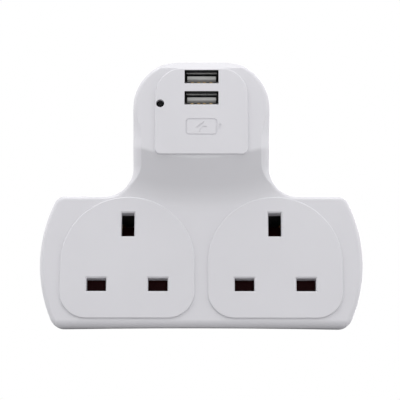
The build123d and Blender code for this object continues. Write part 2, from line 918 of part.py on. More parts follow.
# Plates let into the front shell
for side in socket_centres:
    save(socket_plate(side), f"socket_plate_{side}")
with BuildPart() as head_panel:
    extrude(panel_outline(head_ceiling), amount=panel_front - head_ceiling)
    fillet(head_panel.faces().sort_by(Axis.Y)[0].edges(), raised_edge)
    add(bevel_cut(), mode=Mode.SUBTRACT)
    port_spots = [(0, height) for height in port_heights.values()]
    ports = plate(head_ceiling, port_width, port_height, *port_spots)
    extrude(ports, amount=panel_front - head_ceiling, mode=Mode.SUBTRACT)
    indicator = disc(head_ceiling, indicator_bore / 2, (indicator_across, indicator_height))
    extrude(indicator, amount=panel_front - head_ceiling, mode=Mode.SUBTRACT)
save(head_panel.part, "head_panel")

# Rear shell
fuse_spot = (0, fuse_lift)
window_width = 2 * (fuse_carrier_half + carrier_fit)
window_height = 2 * (fuse_carrier_rise + carrier_fit)
with BuildPart() as stands:
    extrude(disc(rear_face, rear_boss_radius, *case_screw_spots), amount=boss_meeting - rear_face)
    for centre in socket_centres.values():
        extrude(plate(rear_face, leaf_width, leaf_width, *line_spots(centre)), amount=bus_back - rear_face)
        extrude(plate(rear_face, leaf_width, leaf_width, earth_spot(centre)), amount=earth_back - rear_face)
    guide = plate(rear_face, window_width + 2 * carrier_guide, window_height + 2 * carrier_guide, fuse_spot)
    extrude(guide, amount=wall + carrier_guide_rise)
    add(rear_block(wall / 2, rear_face + wall / 2), mode=Mode.INTERSECT)

with BuildPart() as rear_cover:
    add(rear_block(0.0, rear_face))
    middle_height = (bar_top + bar_bottom) / 2
    fillet(bar_corners(rear_cover, bar_bottom, middle_height), bar_bottom_corner)
    fillet(bar_corners(rear_cover, middle_height, bar_top), bar_top_corner)
    chamfer(rear_cover.faces().sort_by(Axis.Y)[-1].edges(), back_edge)
    chamfer(rear_cover.edges().group_by(Axis.Y)[0], seam_groove)
    extrude(base_outline(0), amount=rear_floor)
    chamfer(rear_cover.faces().sort_by(Axis.Y)[-1].edges(), base_edge)
    add(rear_block(wall, rear_floor), mode=Mode.SUBTRACT)
    with BuildSketch(facing(seam)) as lip:
        add(case_outline(wall / 2 + lip_clearance))
        add(case_outline(wall), mode=Mode.SUBTRACT)
    extrude(lip.sketch, amount=lip_height)
    add(stands.part)
    wells = disc(0, screw_head_radius + screw_well_fit, *case_screw_spots)
    extrude(wells, amount=screw_seat, mode=Mode.SUBTRACT)
    clear_holes = disc(0, screw_radius + screw_hole_fit, *case_screw_spots)
    extrude(clear_holes, amount=boss_meeting, mode=Mode.SUBTRACT)
    line_slots = plate(
        0,
        line_pin_width + 2 * pin_fit,
        line_pin_height + 2 * pin_fit,
        (-pin_line, -pin_line),
        (pin_line, -pin_line),
    )
    extrude(line_slots, amount=rear_floor, mode=Mode.SUBTRACT)
    earth_slot = plate(0, earth_pin_width + 2 * pin_fit, earth_pin_height + 2 * pin_fit, (0, pin_line))
    extrude(earth_slot, amount=rear_floor, mode=Mode.SUBTRACT)
    window = plate(0, window_width, window_height, fuse_spot)
    extrude(window, amount=rear_floor + carrier_guide_rise, mode=Mode.SUBTRACT)
save(rear_cover.part, "rear_cover")

# Plug pins and their sleeves
save(pin_blade(earth_pin_length, earth_pin_width, earth_pin_height, (0, pin_line), earth_back), "earth_pin")
save(line_pin(1, clip_base), "live_pin")
save(line_pin(-1, bus_back), "neutral_pin")
save(pin_sleeve(1), "live_pin_sleeve")
save(pin_sleeve(-1), "neutral_pin_sleeve")

# Fuse, its carrier and its clips
fuse_axis = Plane(origin=(0, -fuse_depth, fuse_lift), x_dir=(0, 1, 0), z_dir=(1, 0, 0))
bore = fuse_radius - fuse_cap_wall
with BuildPart() as fuse_carrier:
    block = plate(carrier_recess, 2 * fuse_carrier_half, 2 * fuse_carrier_rise, fuse_spot)
    extrude(block, amount=fuse_depth - carrier_recess)
    with BuildSketch(fuse_axis) as groove:
        Circle(fuse_radius + groove_fit)
    extrude(groove.sketch, amount=fuse_length / 2 + groove_end_fit, both=True, mode=Mode.SUBTRACT)
    slot_spots = [(side * fuse_clip_offset, fuse_lift) for side in (-1, 1)]
    slot_back = fuse_depth - clip_grip - clip_slot_room
    slots = plate(slot_back, clip_width + 2 * clip_slot_room, 2 * fuse_carrier_rise, *slot_spots)
    extrude(slots, amount=fuse_depth - slot_back, mode=Mode.SUBTRACT)
    pry = plate(carrier_recess, pry_width, pry_depth, (0, fuse_lift + fuse_carrier_rise - pry_depth / 2))
    extrude(pry, amount=pry_depth, mode=Mode.SUBTRACT)
save(fuse_carrier.part, "fuse_carrier")

with BuildPart() as fuse_body:
    with BuildSketch(fuse_axis) as tube:
        Circle(bore - fuse_fit)
    extrude(tube.sketch, amount=fuse_length / 2 - fuse_cap_wall - fuse_fit, both=True)
save(fuse_body.part, "fuse_body")

with BuildPart() as fuse_caps:
    for side in (-1, 1):
        with BuildSketch(fuse_axis.offset(side * fuse_length / 2)) as cap:
            Circle(fuse_radius)
        extrude(cap.sketch, amount=-side * fuse_cap_length)
        with BuildSketch(fuse_axis.offset(side * (fuse_length / 2 - fuse_cap_wall))) as hollow:
            Circle(bore)
        extrude(hollow.sketch, amount=-side * fuse_cap_length, mode=Mode.SUBTRACT)
save(fuse_caps.part, "fuse_caps")

with BuildPart() as fuse_clip_line:
    add(fuse_clip(fuse_clip_offset))
    tab = frame_plate(
        clip_base,
        fuse_clip_offset - clip_width / 2,
        fuse_clip_offset + clip_width / 2,
        -pin_line - line_pin_height / 2,
        fuse_lift,
    )
    extrude(tab, amount=clip_thickness)
save(fuse_clip_line.part, "fuse_clip_line")

load_tab_top = fuse_lift + prong_outer + clip_tab
with BuildPart() as fuse_clip_load:
    add(fuse_clip(-fuse_clip_offset))
    tab = frame_plate(
        clip_base,
        -fuse_clip_offset - clip_width / 2,
        -fuse_clip_offset + clip_width / 2,
        fuse_lift,
        load_tab_top,
    )
    extrude(tab, amount=clip_thickness)
save(fuse_clip_load.part, "fuse_clip_load")

# Busbars
save(line_strip(1, live=True), "live_busbar")

with BuildPart() as neutral_busbar:
    add(line_strip(-1, live=False))
    riser = frame_plate(
        bus_back,
        -pin_line - riser_width / 2,
        -pin_line + riser_width / 2,
        line_height + strip_offset,
        -pin_line + line_pin_height / 2,
    )
    extrude(riser, amount=strip_thickness)
save(neutral_busbar.part, "neutral_busbar")

earth_height = line_height + pin_spacing
with BuildPart() as earth_busbar:
    run = frame_plate(
        earth_back,
        socket_centres["left"] - leaf_width / 2,
        socket_centres["right"] + leaf_width / 2,
        earth_height - earth_strip_width / 2,
        earth_height + earth_strip_width / 2,
    )
    extrude(run, amount=strip_thickness)
    riser = frame_plate(
        earth_back, -riser_width / 2, riser_width / 2, earth_height, pin_line + earth_pin_height / 2
    )
    extrude(riser, amount=strip_thickness)
    for centre in socket_centres.values():
        add(earth_contact(centre))
save(earth_busbar.part, "earth_busbar")

# Each socket's carrier, shutter and spring
for side, centre in socket_centres.items():
    save(contact_carrier(centre), f"contact_carrier_{side}")
    save(shutter(centre), f"shutter_{side}")
    save(shutter_spring(centre), f"shutter_spring_{side}")

# Each charging port
for level, height in port_heights.items():
    save(port_shell(height), f"usb_shell_{level}")
    save(port_tongue(height), f"usb_tongue_{level}")
    save(port_contacts(height), f"usb_contacts_{level}")

# Indicator
with BuildPart() as indicator_lens:
    spot = (indicator_across, indicator_height)
    stem_radius = indicator_bore / 2 - indicator_fit
    stem_foot = board_front + led_thickness
    extrude(disc(stem_foot, stem_radius, spot), amount=panel_front - indicator_recess - stem_foot)
    chamfer(indicator_lens.faces().sort_by(Axis.Y)[0].edges(), stem_radius / 3)
    flange_foot = head_ceiling - indicator_flange_thickness
    flange = disc(flange_foot, indicator_bore / 2 + indicator_flange, spot)
    extrude(flange, amount=indicator_flange_thickness)
save(indicator_lens.part, "indicator_lens")

with BuildPart() as indicator_led:
    die = plate(board_front, led_width, led_height, (indicator_across, indicator_height))
    extrude(die, amount=led_thickness)
    chamfer(indicator_led.faces().sort_by(Axis.Y)[0].edges(), chip_edge)
save(indicator_led.part, "indicator_led")

# Charger board and what stands on it
with BuildPart() as charger_board:
    with BuildSketch(facing(board_back)) as outline:
        with Locations((0, (board_top + board_bottom) / 2)):
            Rectangle(2 * board_half, board_top - board_bottom)
        fillet(outline.vertices().group_by(Axis.Y)[-1], board_corner)
        with Locations(*board_screw_spots):
            Circle(board_screw_radius + board_hole_fit, mode=Mode.SUBTRACT)
    extrude(outline.sketch, amount=board_thickness)
save(charger_board.part, "charger_board")

core_spot = (transformer_spot[0], core_depth / 2 - board_back)
with BuildPart() as transformer_core:
    with BuildSketch(Plane.XY.offset(transformer_spot[1])) as laminations:
        with Locations(core_spot):
            Rectangle(core_length, core_depth)
            with GridLocations(0, core_leg + core_window, 1, 2):
                Rectangle(core_length - 2 * core_end, core_window, mode=Mode.SUBTRACT)
    extrude(laminations.sketch, amount=core_stack / 2, both=True)
save(transformer_core.part, "transformer_core")

bobbin_plane = Plane(
    origin=(transformer_spot[0], core_spot[1], transformer_spot[1]), x_dir=(0, 1, 0), z_dir=(1, 0, 0)
)
with BuildPart() as transformer_bobbin:
    with BuildSketch(bobbin_plane) as spool:
        Rectangle(core_leg + 2 * (core_window - bobbin_room), core_stack + 2 * bobbin_overhang)
        Rectangle(core_leg + 2 * bobbin_room, core_stack + 2 * bobbin_room, mode=Mode.SUBTRACT)
    extrude(spool.sketch, amount=core_length / 2 - core_end - bobbin_room, both=True)
save(transformer_bobbin.part, "transformer_bobbin")

save(capacitor(input_capacitor_spot, input_capacitor_radius, input_capacitor_height), "input_capacitor")
save(capacitor(output_capacitor_spot, output_capacitor_radius, output_capacitor_height), "output_capacitor")

with BuildPart() as controller_chip:
    extrude(plate(board_back - chip_thickness, chip_length, chip_width, chip_spot), amount=chip_thickness)
    chamfer(controller_chip.faces().sort_by(Axis.Y)[-1].edges(), chip_edge)
save(controller_chip.part, "controller_chip")

# Screws
with BuildPart() as case_screws:
    for spot in case_screw_spots:
        add(screw(spot, screw_seat, screw_length, screw_radius, screw_head_radius, screw_head_height))
save(case_screws.part, "case_screws")

with BuildPart() as board_screws:
    for spot in board_screw_spots:
        add(
            screw(
                spot,
                board_back,
                board_screw_length,
                board_screw_radius,
                board_screw_head_radius,
                board_screw_head_height,
            )
        )
save(board_screws.part, "board_screws")

# Leads: from the fuse to the live strip, and from the fuse and the neutral riser to the board
tab_height = load_tab_top - 2 * lead_radius
load_lead_across = -fuse_clip_offset + clip_width / 2 - lead_radius
charger_lead_across = -fuse_clip_offset - clip_width / 2 + lead_radius
strip_height = line_height - strip_offset - strip_width / 2
live_route = (
    (load_lead_across, clip_front, tab_height),
    (load_lead_across, clip_front + lead_stub, tab_height),
    (load_lead_across, lead_run, -pin_line),
    (lead_gap, lead_run, bar_top),
    (lead_gap, lead_run, strip_height + 2 * lead_landing),
    (lead_gap, bus_front + lead_landing, strip_height),
    (lead_gap, bus_front, strip_height),
)
save(lead(live_route), "live_lead")
charger_live_route = (
    (charger_lead_across, clip_front, tab_height),
    (charger_lead_across, clip_front + lead_stub, tab_height),
    (lead_edge_across, lead_run, fuse_lift),
    (lead_edge_across, board_back - lead_landing, -lead_stub),
    (lead_edge_across, board_back, -lead_stub),
)
save(lead(charger_live_route), "charger_live_lead")
riser_foot = -pin_line - line_pin_height / 2
charger_neutral_route = (
    (-pin_line, bus_front, riser_foot),
    (-pin_line, bus_front + lead_landing, riser_foot),
    (lead_foot_across, board_back - lead_landing, riser_foot),
    (lead_foot_across, board_back, riser_foot),
)
save(lead(charger_neutral_route), "charger_neutral_lead")
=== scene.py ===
"""Looks of a plug-in multi socket adapter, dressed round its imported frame.

Lengths are metres in the row frame: +X to the right of someone who faces the sockets, +Y back into the
wall along the plug pins, +Z up, with the origin on the plug face.
"""

import json
import logging
from dataclasses import dataclass, field
from enum import Enum

import bmesh
import bpy
import numpy as np
from mathutils import Matrix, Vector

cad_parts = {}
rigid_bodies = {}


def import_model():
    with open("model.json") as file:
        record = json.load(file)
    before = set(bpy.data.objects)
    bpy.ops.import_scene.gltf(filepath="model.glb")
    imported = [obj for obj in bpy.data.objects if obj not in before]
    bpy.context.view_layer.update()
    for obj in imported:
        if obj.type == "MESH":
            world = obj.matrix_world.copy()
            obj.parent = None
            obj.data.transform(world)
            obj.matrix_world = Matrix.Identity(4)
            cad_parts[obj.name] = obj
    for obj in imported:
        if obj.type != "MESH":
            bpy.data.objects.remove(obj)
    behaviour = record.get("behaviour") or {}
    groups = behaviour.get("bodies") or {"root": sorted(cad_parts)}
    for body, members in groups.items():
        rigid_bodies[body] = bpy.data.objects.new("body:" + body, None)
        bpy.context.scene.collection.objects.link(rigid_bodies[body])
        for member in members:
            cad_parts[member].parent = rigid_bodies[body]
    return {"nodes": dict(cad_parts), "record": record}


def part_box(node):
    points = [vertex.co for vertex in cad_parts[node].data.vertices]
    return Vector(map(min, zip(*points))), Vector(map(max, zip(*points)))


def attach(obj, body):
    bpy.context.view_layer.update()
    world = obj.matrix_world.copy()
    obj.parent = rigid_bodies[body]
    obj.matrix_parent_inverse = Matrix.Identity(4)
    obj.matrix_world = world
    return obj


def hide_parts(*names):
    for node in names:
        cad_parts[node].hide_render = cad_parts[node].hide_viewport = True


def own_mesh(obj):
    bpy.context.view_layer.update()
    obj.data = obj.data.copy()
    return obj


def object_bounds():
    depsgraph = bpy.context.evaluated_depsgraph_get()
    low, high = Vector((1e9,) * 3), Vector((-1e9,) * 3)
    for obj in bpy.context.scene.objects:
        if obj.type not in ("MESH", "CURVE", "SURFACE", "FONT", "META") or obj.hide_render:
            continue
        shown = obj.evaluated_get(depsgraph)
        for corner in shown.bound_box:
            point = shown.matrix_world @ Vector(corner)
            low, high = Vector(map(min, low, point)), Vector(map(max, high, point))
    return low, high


for leftover in list(bpy.data.objects):
    bpy.data.objects.remove(leftover)
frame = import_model()
CAD_BOX = [list(corner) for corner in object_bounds()]
HOUSING = "housing"
log = logging.getLogger("adapter")

MM = 0.001
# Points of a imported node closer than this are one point
MERGED = 0.002 * MM
# Faces thinner than this are dropped after a cut
SLIVER = 0.001 * MM
# Edges bent by more than these angles stay sharp, in radians
CREASE = 0.6
CUT_CREASE = 0.5
COIL_CREASE = 1.0
# How far a cutter reaches into the air in front of a face
AIR = 1.0 * MM
WHITE = (1.0, 1.0, 1.0, 1.0)

Points = np.ndarray
Faces = list[tuple[int, ...]]
Solid = tuple[Points, Faces]
Spot = tuple[float, float]
Colour = tuple[float, float, float]
Socket = bpy.types.NodeSocket
Value = Socket | float | tuple
Inputs = dict[str | int, Value]


class Choice(Enum):
    """One of a few places, with the name that it gives to the pieces there."""

    @property
    def label(self) -> str:
        """Name of the place within a piece's name."""
        return self.name.lower()


class Side(Choice):
    """The left and the right side, as the sign of the places across."""

    LEFT = -1
    RIGHT = 1


class Wall(Choice):
    """The upper and the lower wall of a charging port, as the sign of the heights above its middle."""

    TOP = 1
    FOOT = -1


class Level(Choice):
    """The two charging ports, by height."""

    UPPER = "upper"
    LOWER = "lower"


class Flow(Enum):
    """Direction that a metal was drawn or rolled in, as a stretch of its streaks along X, Y and Z."""

    ACROSS = (60.0, 1400.0, 1400.0)
    DEEP = (1400.0, 60.0, 1400.0)
    UP = (1400.0, 1400.0, 60.0)


@dataclass
class Graph:
    """A shader node tree while it is being wired.

    Attributes:
        tree: the material's, world's or group's node tree.
    """

    tree: bpy.types.NodeTree

    def add(self, kind: str, inputs: Inputs | None = None, **options: object) -> bpy.types.Node:
        """Adds a node.

        Args:
            kind: Blender's name of the node type.
            inputs: values or output sockets, by input name or number.
            options: properties of the node.

        Returns:
            The new node.
        """
        node = self.tree.nodes.new(kind)
        for key, value in options.items():
            setattr(node, key, value)
        for key, value in (inputs or {}).items():
            if isinstance(value, Socket):
                self.link(value, node, key)
            else:
                node.inputs[key].default_value = value
        return node

    def link(self, source: Socket, node: bpy.types.Node, key: str | int) -> None:
        """Leads an output socket to a node's input of this name or number."""
        self.tree.links.new(source, node.inputs[key])

    def place(self) -> Socket:
        """Socket of the place on the object."""
        return self.add("ShaderNodeTexCoord").outputs["Object"]

    def span(self, value: Socket, source: tuple[float, float], target: tuple[Value, Value]) -> Socket:
        """Maps a value from one range to another.

        Args:
            value: socket of the value.
            source: lowest and highest value taken.
            target: values or sockets given for them.

        Returns:
            The socket of the mapped value.
        """
        inputs = {0: value, 1: source[0], 2: source[1], 3: target[0], 4: target[1]}
        return self.add("ShaderNodeMapRange", inputs).outputs[0]

    def math(self, how: str, first: Value, second: Value) -> Socket:
        """Combines two values by a named sum and returns its socket."""
        return self.add("ShaderNodeMath", {0: first, 1: second}, operation=how).outputs[0]

    def noise(self, place: Socket, scale: Value, detail: float) -> Socket:
        """Cloudy noise from 0 to 1 at a scale per metre; returns its socket."""
        inputs = {"Vector": place, "Scale": scale, "Detail": detail}
        return self.add("ShaderNodeTexNoise", inputs).outputs[0]

    def tinted(self, how: str, amount: Value, first: Value, second: Value) -> Socket:
        """Mixes two colours in a named way by an amount and returns the socket of the mix."""
        inputs = {0: amount, 6: first, 7: second}
        return self.add("ShaderNodeMix", inputs, data_type="RGBA", blend_type=how).outputs[2]


def new_group(name: str, inputs: Inputs, outputs: dict[str, str]) -> tuple[Graph, dict[str, Socket]]:
    """Starts a shader node group.

    Args:
        name: name of the group.
        inputs: default of each input; a tuple of four is a colour and a tuple of three a direction.
        outputs: kind of each output, Color or Float.

    Returns:
        The group's graph and its input sockets by name.
    """
    tree = bpy.data.node_groups.new(name, "ShaderNodeTree")
    graph = Graph(tree)
    for label, default in inputs.items():
        length = len(default) if isinstance(default, tuple) else 0
        kind = {4: "Color", 3: "Vector", 0: "Float"}[length]
        socket = tree.interface.new_socket(label, in_out="INPUT", socket_type=f"NodeSocket{kind}")
        socket.default_value = default
    for label, kind in outputs.items():
        tree.interface.new_socket(label, in_out="OUTPUT", socket_type=f"NodeSocket{kind}")
    entry = graph.add("NodeGroupInput")
    return graph, {socket.name: socket for socket in entry.outputs if socket.name}


def moulding_group() -> bpy.types.NodeTree:
    """Builds the look of a moulded surface: cloudy drift of the colour, faint rub marks and a fine grain.

    Returns:
        The group, with the outputs Colour, Roughness and Height.
    """
    graph, entry = new_group(
        "moulded_surface",
        {
            "Colour": (0.8, 0.8, 0.8, 1.0),
            "Drift": 0.03,
            "Grain": 2500.0,
            "Smooth": 0.25,
            "Rubbed": 0.4,
        },
        {"Colour": "Color", "Roughness": "Float", "Height": "Float"},
    )
    place = graph.place()
    cloud = graph.noise(place, scale=45.0, detail=3.0)
    fine = graph.noise(place, scale=entry["Grain"], detail=4.0)
    low = graph.math("SUBTRACT", 1.0, entry["Drift"])
    high = graph.math("ADD", 1.0, entry["Drift"])
    shade = graph.span(cloud, (0.3, 0.7), (low, high))
    colour = graph.tinted("MULTIPLY", 1.0, entry["Colour"], shade)
    inputs = {"Vector": place, "Rotation": (0.5, 0.7, 0.3), "Scale": (900.0, 60.0, 60.0)}
    turned = graph.add("ShaderNodeMapping", inputs)
    rubs = graph.noise(turned.outputs[0], scale=1.0, detail=3.0)
    patches = graph.noise(place, scale=90.0, detail=2.0)
    worn = graph.math("MULTIPLY", graph.span(rubs, (0.5, 0.8), (0.0, 1.0)), patches)
    roughness = graph.span(worn, (0.0, 0.5), (entry["Smooth"], entry["Rubbed"]))
    graph.add("NodeGroupOutput", {"Colour": colour, "Roughness": roughness, "Height": fine})
    return graph.tree


def streak_group() -> bpy.types.NodeTree:
    """Builds the look of drawn or rolled metal: fine streaks along one direction over a cloudy tarnish.

    Returns:
        The group, with the outputs Colour, Roughness and Height.
    """
    graph, entry = new_group(
        "drawn_metal",
        {
            "Bright": (0.8, 0.7, 0.4, 1.0),
            "Tarnish": (0.5, 0.4, 0.2, 1.0),
            "Flow": (1400.0, 60.0, 1400.0),
            "Polished": 0.15,
            "Dulled": 0.35,
        },
        {"Colour": "Color", "Roughness": "Float", "Height": "Float"},
    )
    place = graph.place()
    stretched = graph.add("ShaderNodeVectorMath", {0: place, 1: entry["Flow"]}, operation="MULTIPLY")
    streaks = graph.noise(stretched.outputs[0], scale=1.0, detail=3.0)
    cloud = graph.noise(place, scale=160.0, detail=4.0)
    spread = graph.math("ADD", graph.math("MULTIPLY", streaks, 0.4), graph.math("MULTIPLY", cloud, 0.6))
    amount = graph.span(spread, (0.38, 0.66), (0.0, 1.0))
    colour = graph.tinted("MIX", amount, entry["Bright"], entry["Tarnish"])
    roughness = graph.span(spread, (0.35, 0.65), (entry["Polished"], entry["Dulled"]))
    graph.add("NodeGroupOutput", {"Colour": colour, "Roughness": roughness, "Height": streaks})
    return graph.tree


MOULDING = moulding_group()
STREAKS = streak_group()


def opened_material(name: str) -> tuple[bpy.types.Material, Graph, bpy.types.Node]:
    """Starts a material.

    Args:
        name: name of the material.

    Returns:
        The material, its graph and its surface shader.
    """
    material = bpy.data.materials.new(name)
    material.use_nodes = True
    graph = Graph(material.node_tree)
    return material, graph, material.node_tree.nodes["Principled BSDF"]


def roughen(graph: Graph, shader: bpy.types.Node, height: Socket, depth: float) -> None:
    """Gives a surface relief.

    Args:
        graph: the material's graph.
        shader: its surface shader.
        height: socket of the relief's height from 0 to 1.
        depth: depth of the relief in metres.
    """
    bump = graph.add("ShaderNodeBump", {"Height": height, "Strength": 1.0, "Distance": depth})
    graph.link(bump.outputs[0], shader, "Normal")


def grouped_material(
    name: str, group: bpy.types.NodeTree, values: Inputs, depth: float
) -> tuple[bpy.types.Material, bpy.types.Node]:
    """Makes a material whose colour, roughness and relief come from a node group.

    Args:
        name: name of the material.
        group: the node group.
        values: values of the group's inputs in this material.
        depth: depth of the relief in metres, 0 for none.

    Returns:
        The material and its surface shader.
    """
    material, graph, shader = opened_material(name)
    look = graph.add("ShaderNodeGroup", values, node_tree=group).outputs
    graph.link(look["Colour"], shader, "Base Color")
    graph.link(look["Roughness"], shader, "Roughness")
    if depth:
        roughen(graph, shader, look["Height"], depth)
    return material, shader


def rub(graph: Graph, shader: bpy.types.Node, smooth: float, rubbed: float) -> None:
    """Gives a surface the rub marks of a moulding.

    Args:
        graph: the material's graph.
        shader: its surface shader.
        smooth: roughness where nothing has rubbed.
        rubbed: roughness of the rub marks.
    """
    marks = graph.add("ShaderNodeGroup", {"Smooth": smooth, "Rubbed": rubbed}, node_tree=MOULDING)
    graph.link(marks.outputs["Roughness"], shader, "Roughness")


@dataclass(frozen=True)
class Moulded:
    """Moulded plastic, solid or smoked, lacquer or ceramic.

    Attributes:
        colour: linear colour.
        smooth: roughness where nothing has rubbed.
        rubbed: roughness of the rub marks.
        drift: share by which the colour drifts.
        grain: grains per metre.
        depth: depth of the grain in metres, 0 for none.
        coat: weight of a clear skin over the colour.
        gloss: level of the mirror-like share of the light.
        clear: share of the light that passes.
    """

    colour: Colour
    smooth: float = 0.3
    rubbed: float = 0.42
    drift: float = 0.03
    grain: float = 2500.0
    depth: float = 0.000004
    coat: float = 0.0
    gloss: float = 0.5
    clear: float = 0.0

    def material(self, name: str) -> bpy.types.Material:
        """Makes the material.

        Args:
            name: name of the material.

        Returns:
            The material.
        """
        values = {
            "Colour": (*self.colour, 1.0),
            "Drift": self.drift,
            "Grain": self.grain,
            "Smooth": self.smooth,
            "Rubbed": self.rubbed,
        }
        material, shader = grouped_material(name, MOULDING, values, self.depth)
        shader.inputs["Coat Weight"].default_value = self.coat
        shader.inputs["Coat Roughness"].default_value = self.smooth / 2
        shader.inputs["Specular IOR Level"].default_value = self.gloss
        shader.inputs["Transmission Weight"].default_value = self.clear
        return material


@dataclass(frozen=True)
class Drawn:
    """Drawn, rolled or plated metal.

    Attributes:
        bright: linear colour of the clean metal.
        tarnish: linear colour of the dulled metal.
        flow: direction of the streaks.
        polished: roughness of the clean metal.
        dulled: roughness of the dulled metal.
        depth: depth of the streaks in metres.
    """

    bright: Colour
    tarnish: Colour
    flow: Flow = Flow.DEEP
    polished: float = 0.18
    dulled: float = 0.36
    depth: float = 0.0000005

    def material(self, name: str) -> bpy.types.Material:
        """Makes the material.

        Args:
            name: name of the material.

        Returns:
            The material.
        """
        values = {
            "Bright": (*self.bright, 1.0),
            "Tarnish": (*self.tarnish, 1.0),
            "Flow": self.flow.value,
            "Polished": self.polished,
            "Dulled": self.dulled,
        }
        material, shader = grouped_material(name, STREAKS, values, self.depth)
        shader.inputs["Metallic"].default_value = 1.0
        return material


@dataclass(frozen=True)
class Tracked:
    """Lacquered circuit board with tracks under the lacquer.

    Attributes:
        lacquer: linear colour between the tracks.
        track: linear colour over the tracks.
        pitch: tracks per metre.
        gap: share of the pitch between two tracks.
        smooth: roughness of the lacquer.
        rubbed: roughness of its rub marks.
        depth: height of the tracks in metres.
    """

    lacquer: Colour
    track: Colour
    pitch: float = 260.0
    gap: float = 0.06
    smooth: float = 0.25
    rubbed: float = 0.4
    depth: float = 0.00002

    def material(self, name: str) -> bpy.types.Material:
        """Makes the material.

        Args:
            name: name of the material.

        Returns:
            The material.
        """
        material, graph, shader = opened_material(name)
        turned = graph.add("ShaderNodeMapping", {"Vector": graph.place(), "Rotation": (np.pi / 2, 0.0, 0.0)})
        inputs = {
            "Vector": turned.outputs[0],
            "Color1": (*self.track, 1.0),
            "Color2": (*self.lacquer, 1.0),
            "Mortar": (*self.lacquer, 1.0),
            "Scale": self.pitch,
            "Mortar Size": self.gap,
        }
        tracks = graph.add("ShaderNodeTexBrick", inputs)
        graph.link(tracks.outputs["Color"], shader, "Base Color")
        rub(graph, shader, self.smooth, self.rubbed)
        roughen(graph, shader, tracks.outputs["Fac"], self.depth)
        return material


@dataclass(frozen=True)
class Taped:
    """Winding under turns of tape.

    Attributes:
        tape: linear colour of the tape.
        lap: linear colour of the laps' shaded edges.
        laps: laps per metre.
        waver: how much the laps waver.
        smooth: roughness of the tape.
        rubbed: roughness of its rub marks.
        depth: height of a lap in metres.
    """

    tape: Colour
    lap: Colour
    laps: float = 500.0
    waver: float = 0.6
    smooth: float = 0.3
    rubbed: float = 0.5
    depth: float = 0.00003

    def material(self, name: str) -> bpy.types.Material:
        """Makes the material.

        Args:
            name: name of the material.

        Returns:
            The material.
        """
        material, graph, shader = opened_material(name)
        inputs = {"Vector": graph.place(), "Scale": self.laps, "Distortion": self.waver}
        bands = graph.add("ShaderNodeTexWave", inputs, bands_direction="Z").outputs["Fac"]
        colour = graph.tinted("MIX", bands, (*self.lap, 1.0), (*self.tape, 1.0))
        graph.link(colour, shader, "Base Color")
        rub(graph, shader, self.smooth, self.rubbed)
        roughen(graph, shader, bands, self.depth)
        return material


FINISHES = {
    "case_white": Moulded((0.656, 0.650, 0.684), smooth=0.30, rubbed=0.40, drift=0.012, coat=0.25),
    "carrier_white": Moulded((0.640, 0.634, 0.662), smooth=0.34, rubbed=0.45, drift=0.02),
    "sleeve_black": Moulded((0.018, 0.018, 0.020), smooth=0.45, rubbed=0.6, drift=0.1, depth=0.00001),
    "pin_brass": Drawn((0.83, 0.62, 0.28), (0.70, 0.50, 0.21), Flow.DEEP, polished=0.16, dulled=0.30),
    "contact_brass": Drawn((0.74, 0.54, 0.25), (0.55, 0.36, 0.14), Flow.UP, polished=0.22, dulled=0.42),
    # shutter_red: dark red, partly its own colour and partly painted shade, darkened so the shutters in the
    # pin holes read as dark as the holes
    "shutter_red": Moulded((0.013, 0.0010, 0.0014), smooth=0.5, rubbed=0.6, drift=0.06, gloss=0.05),
    "spring_steel": Drawn((0.62, 0.62, 0.64), (0.42, 0.42, 0.44), Flow.ACROSS, polished=0.2, dulled=0.35),
    "screw_steel": Drawn((0.56, 0.56, 0.58), (0.36, 0.35, 0.34), Flow.DEEP, polished=0.24, dulled=0.44),
    "block_grey": Moulded((0.045, 0.045, 0.050), smooth=0.5, rubbed=0.62, drift=0.06, depth=0.00001),
    "board_green": Tracked((0.010, 0.085, 0.030), (0.030, 0.160, 0.055)),
    # port_steel: steel darkened to near black, painted shade inside the port's shell and on its sprung strips
    "port_steel": Drawn((0.20, 0.20, 0.205), (0.10, 0.10, 0.105), Flow.DEEP, polished=0.28, dulled=0.45),
    # tongue_white: white plastic, raised paler as painted light to make up for the little light reaching into
    # the port
    "tongue_white": Moulded((0.92, 0.92, 0.91), smooth=0.4, rubbed=0.5, drift=0.02),
    "fuse_ceramic": Moulded((0.72, 0.69, 0.61), smooth=0.22, rubbed=0.35, drift=0.04, coat=0.4),
    "fuse_cap": Drawn((0.70, 0.68, 0.62), (0.50, 0.47, 0.42), Flow.ACROSS, polished=0.16, dulled=0.34),
    "can_blue": Moulded((0.008, 0.014, 0.075), smooth=0.25, rubbed=0.38, drift=0.08),
    "core_ferrite": Moulded((0.020, 0.020, 0.022), smooth=0.55, rubbed=0.75, drift=0.2, depth=0.00002),
    "winding_yellow": Taped((0.56, 0.38, 0.05), (0.36, 0.22, 0.02)),
    "chip_black": Moulded(
        (0.005, 0.005, 0.006), smooth=0.55, rubbed=0.7, drift=0.1, depth=0.00001, gloss=0.1
    ),
    "lens_smoked": Moulded(
        (0.004, 0.004, 0.005), smooth=0.12, rubbed=0.22, drift=0.1, depth=0.0, gloss=0.06, clear=0.12
    ),
    "led_white": Moulded((0.70, 0.69, 0.62), smooth=0.3, rubbed=0.4, coat=0.5),
    "lead_brown": Moulded((0.080, 0.022, 0.006), smooth=0.35, rubbed=0.45, drift=0.06),
    "lead_blue": Moulded((0.008, 0.030, 0.220), smooth=0.35, rubbed=0.45, drift=0.06),
}
MATERIALS = {slot: finish.material(slot) for slot, finish in FINISHES.items()}
NODE_SLOTS = {row["node"]: row["material_slot"] for row in frame["record"]["subparts"]}


def dress_node(name: str) -> None:
    """Gives a node of the frame its slot's material.

    Args:
        name: name of the node.
    """
    for holder in frame["nodes"][name].material_slots:
        holder.material = MATERIALS[NODE_SLOTS[name]]
    log.info("dressed %s as %s", name, NODE_SLOTS[name])


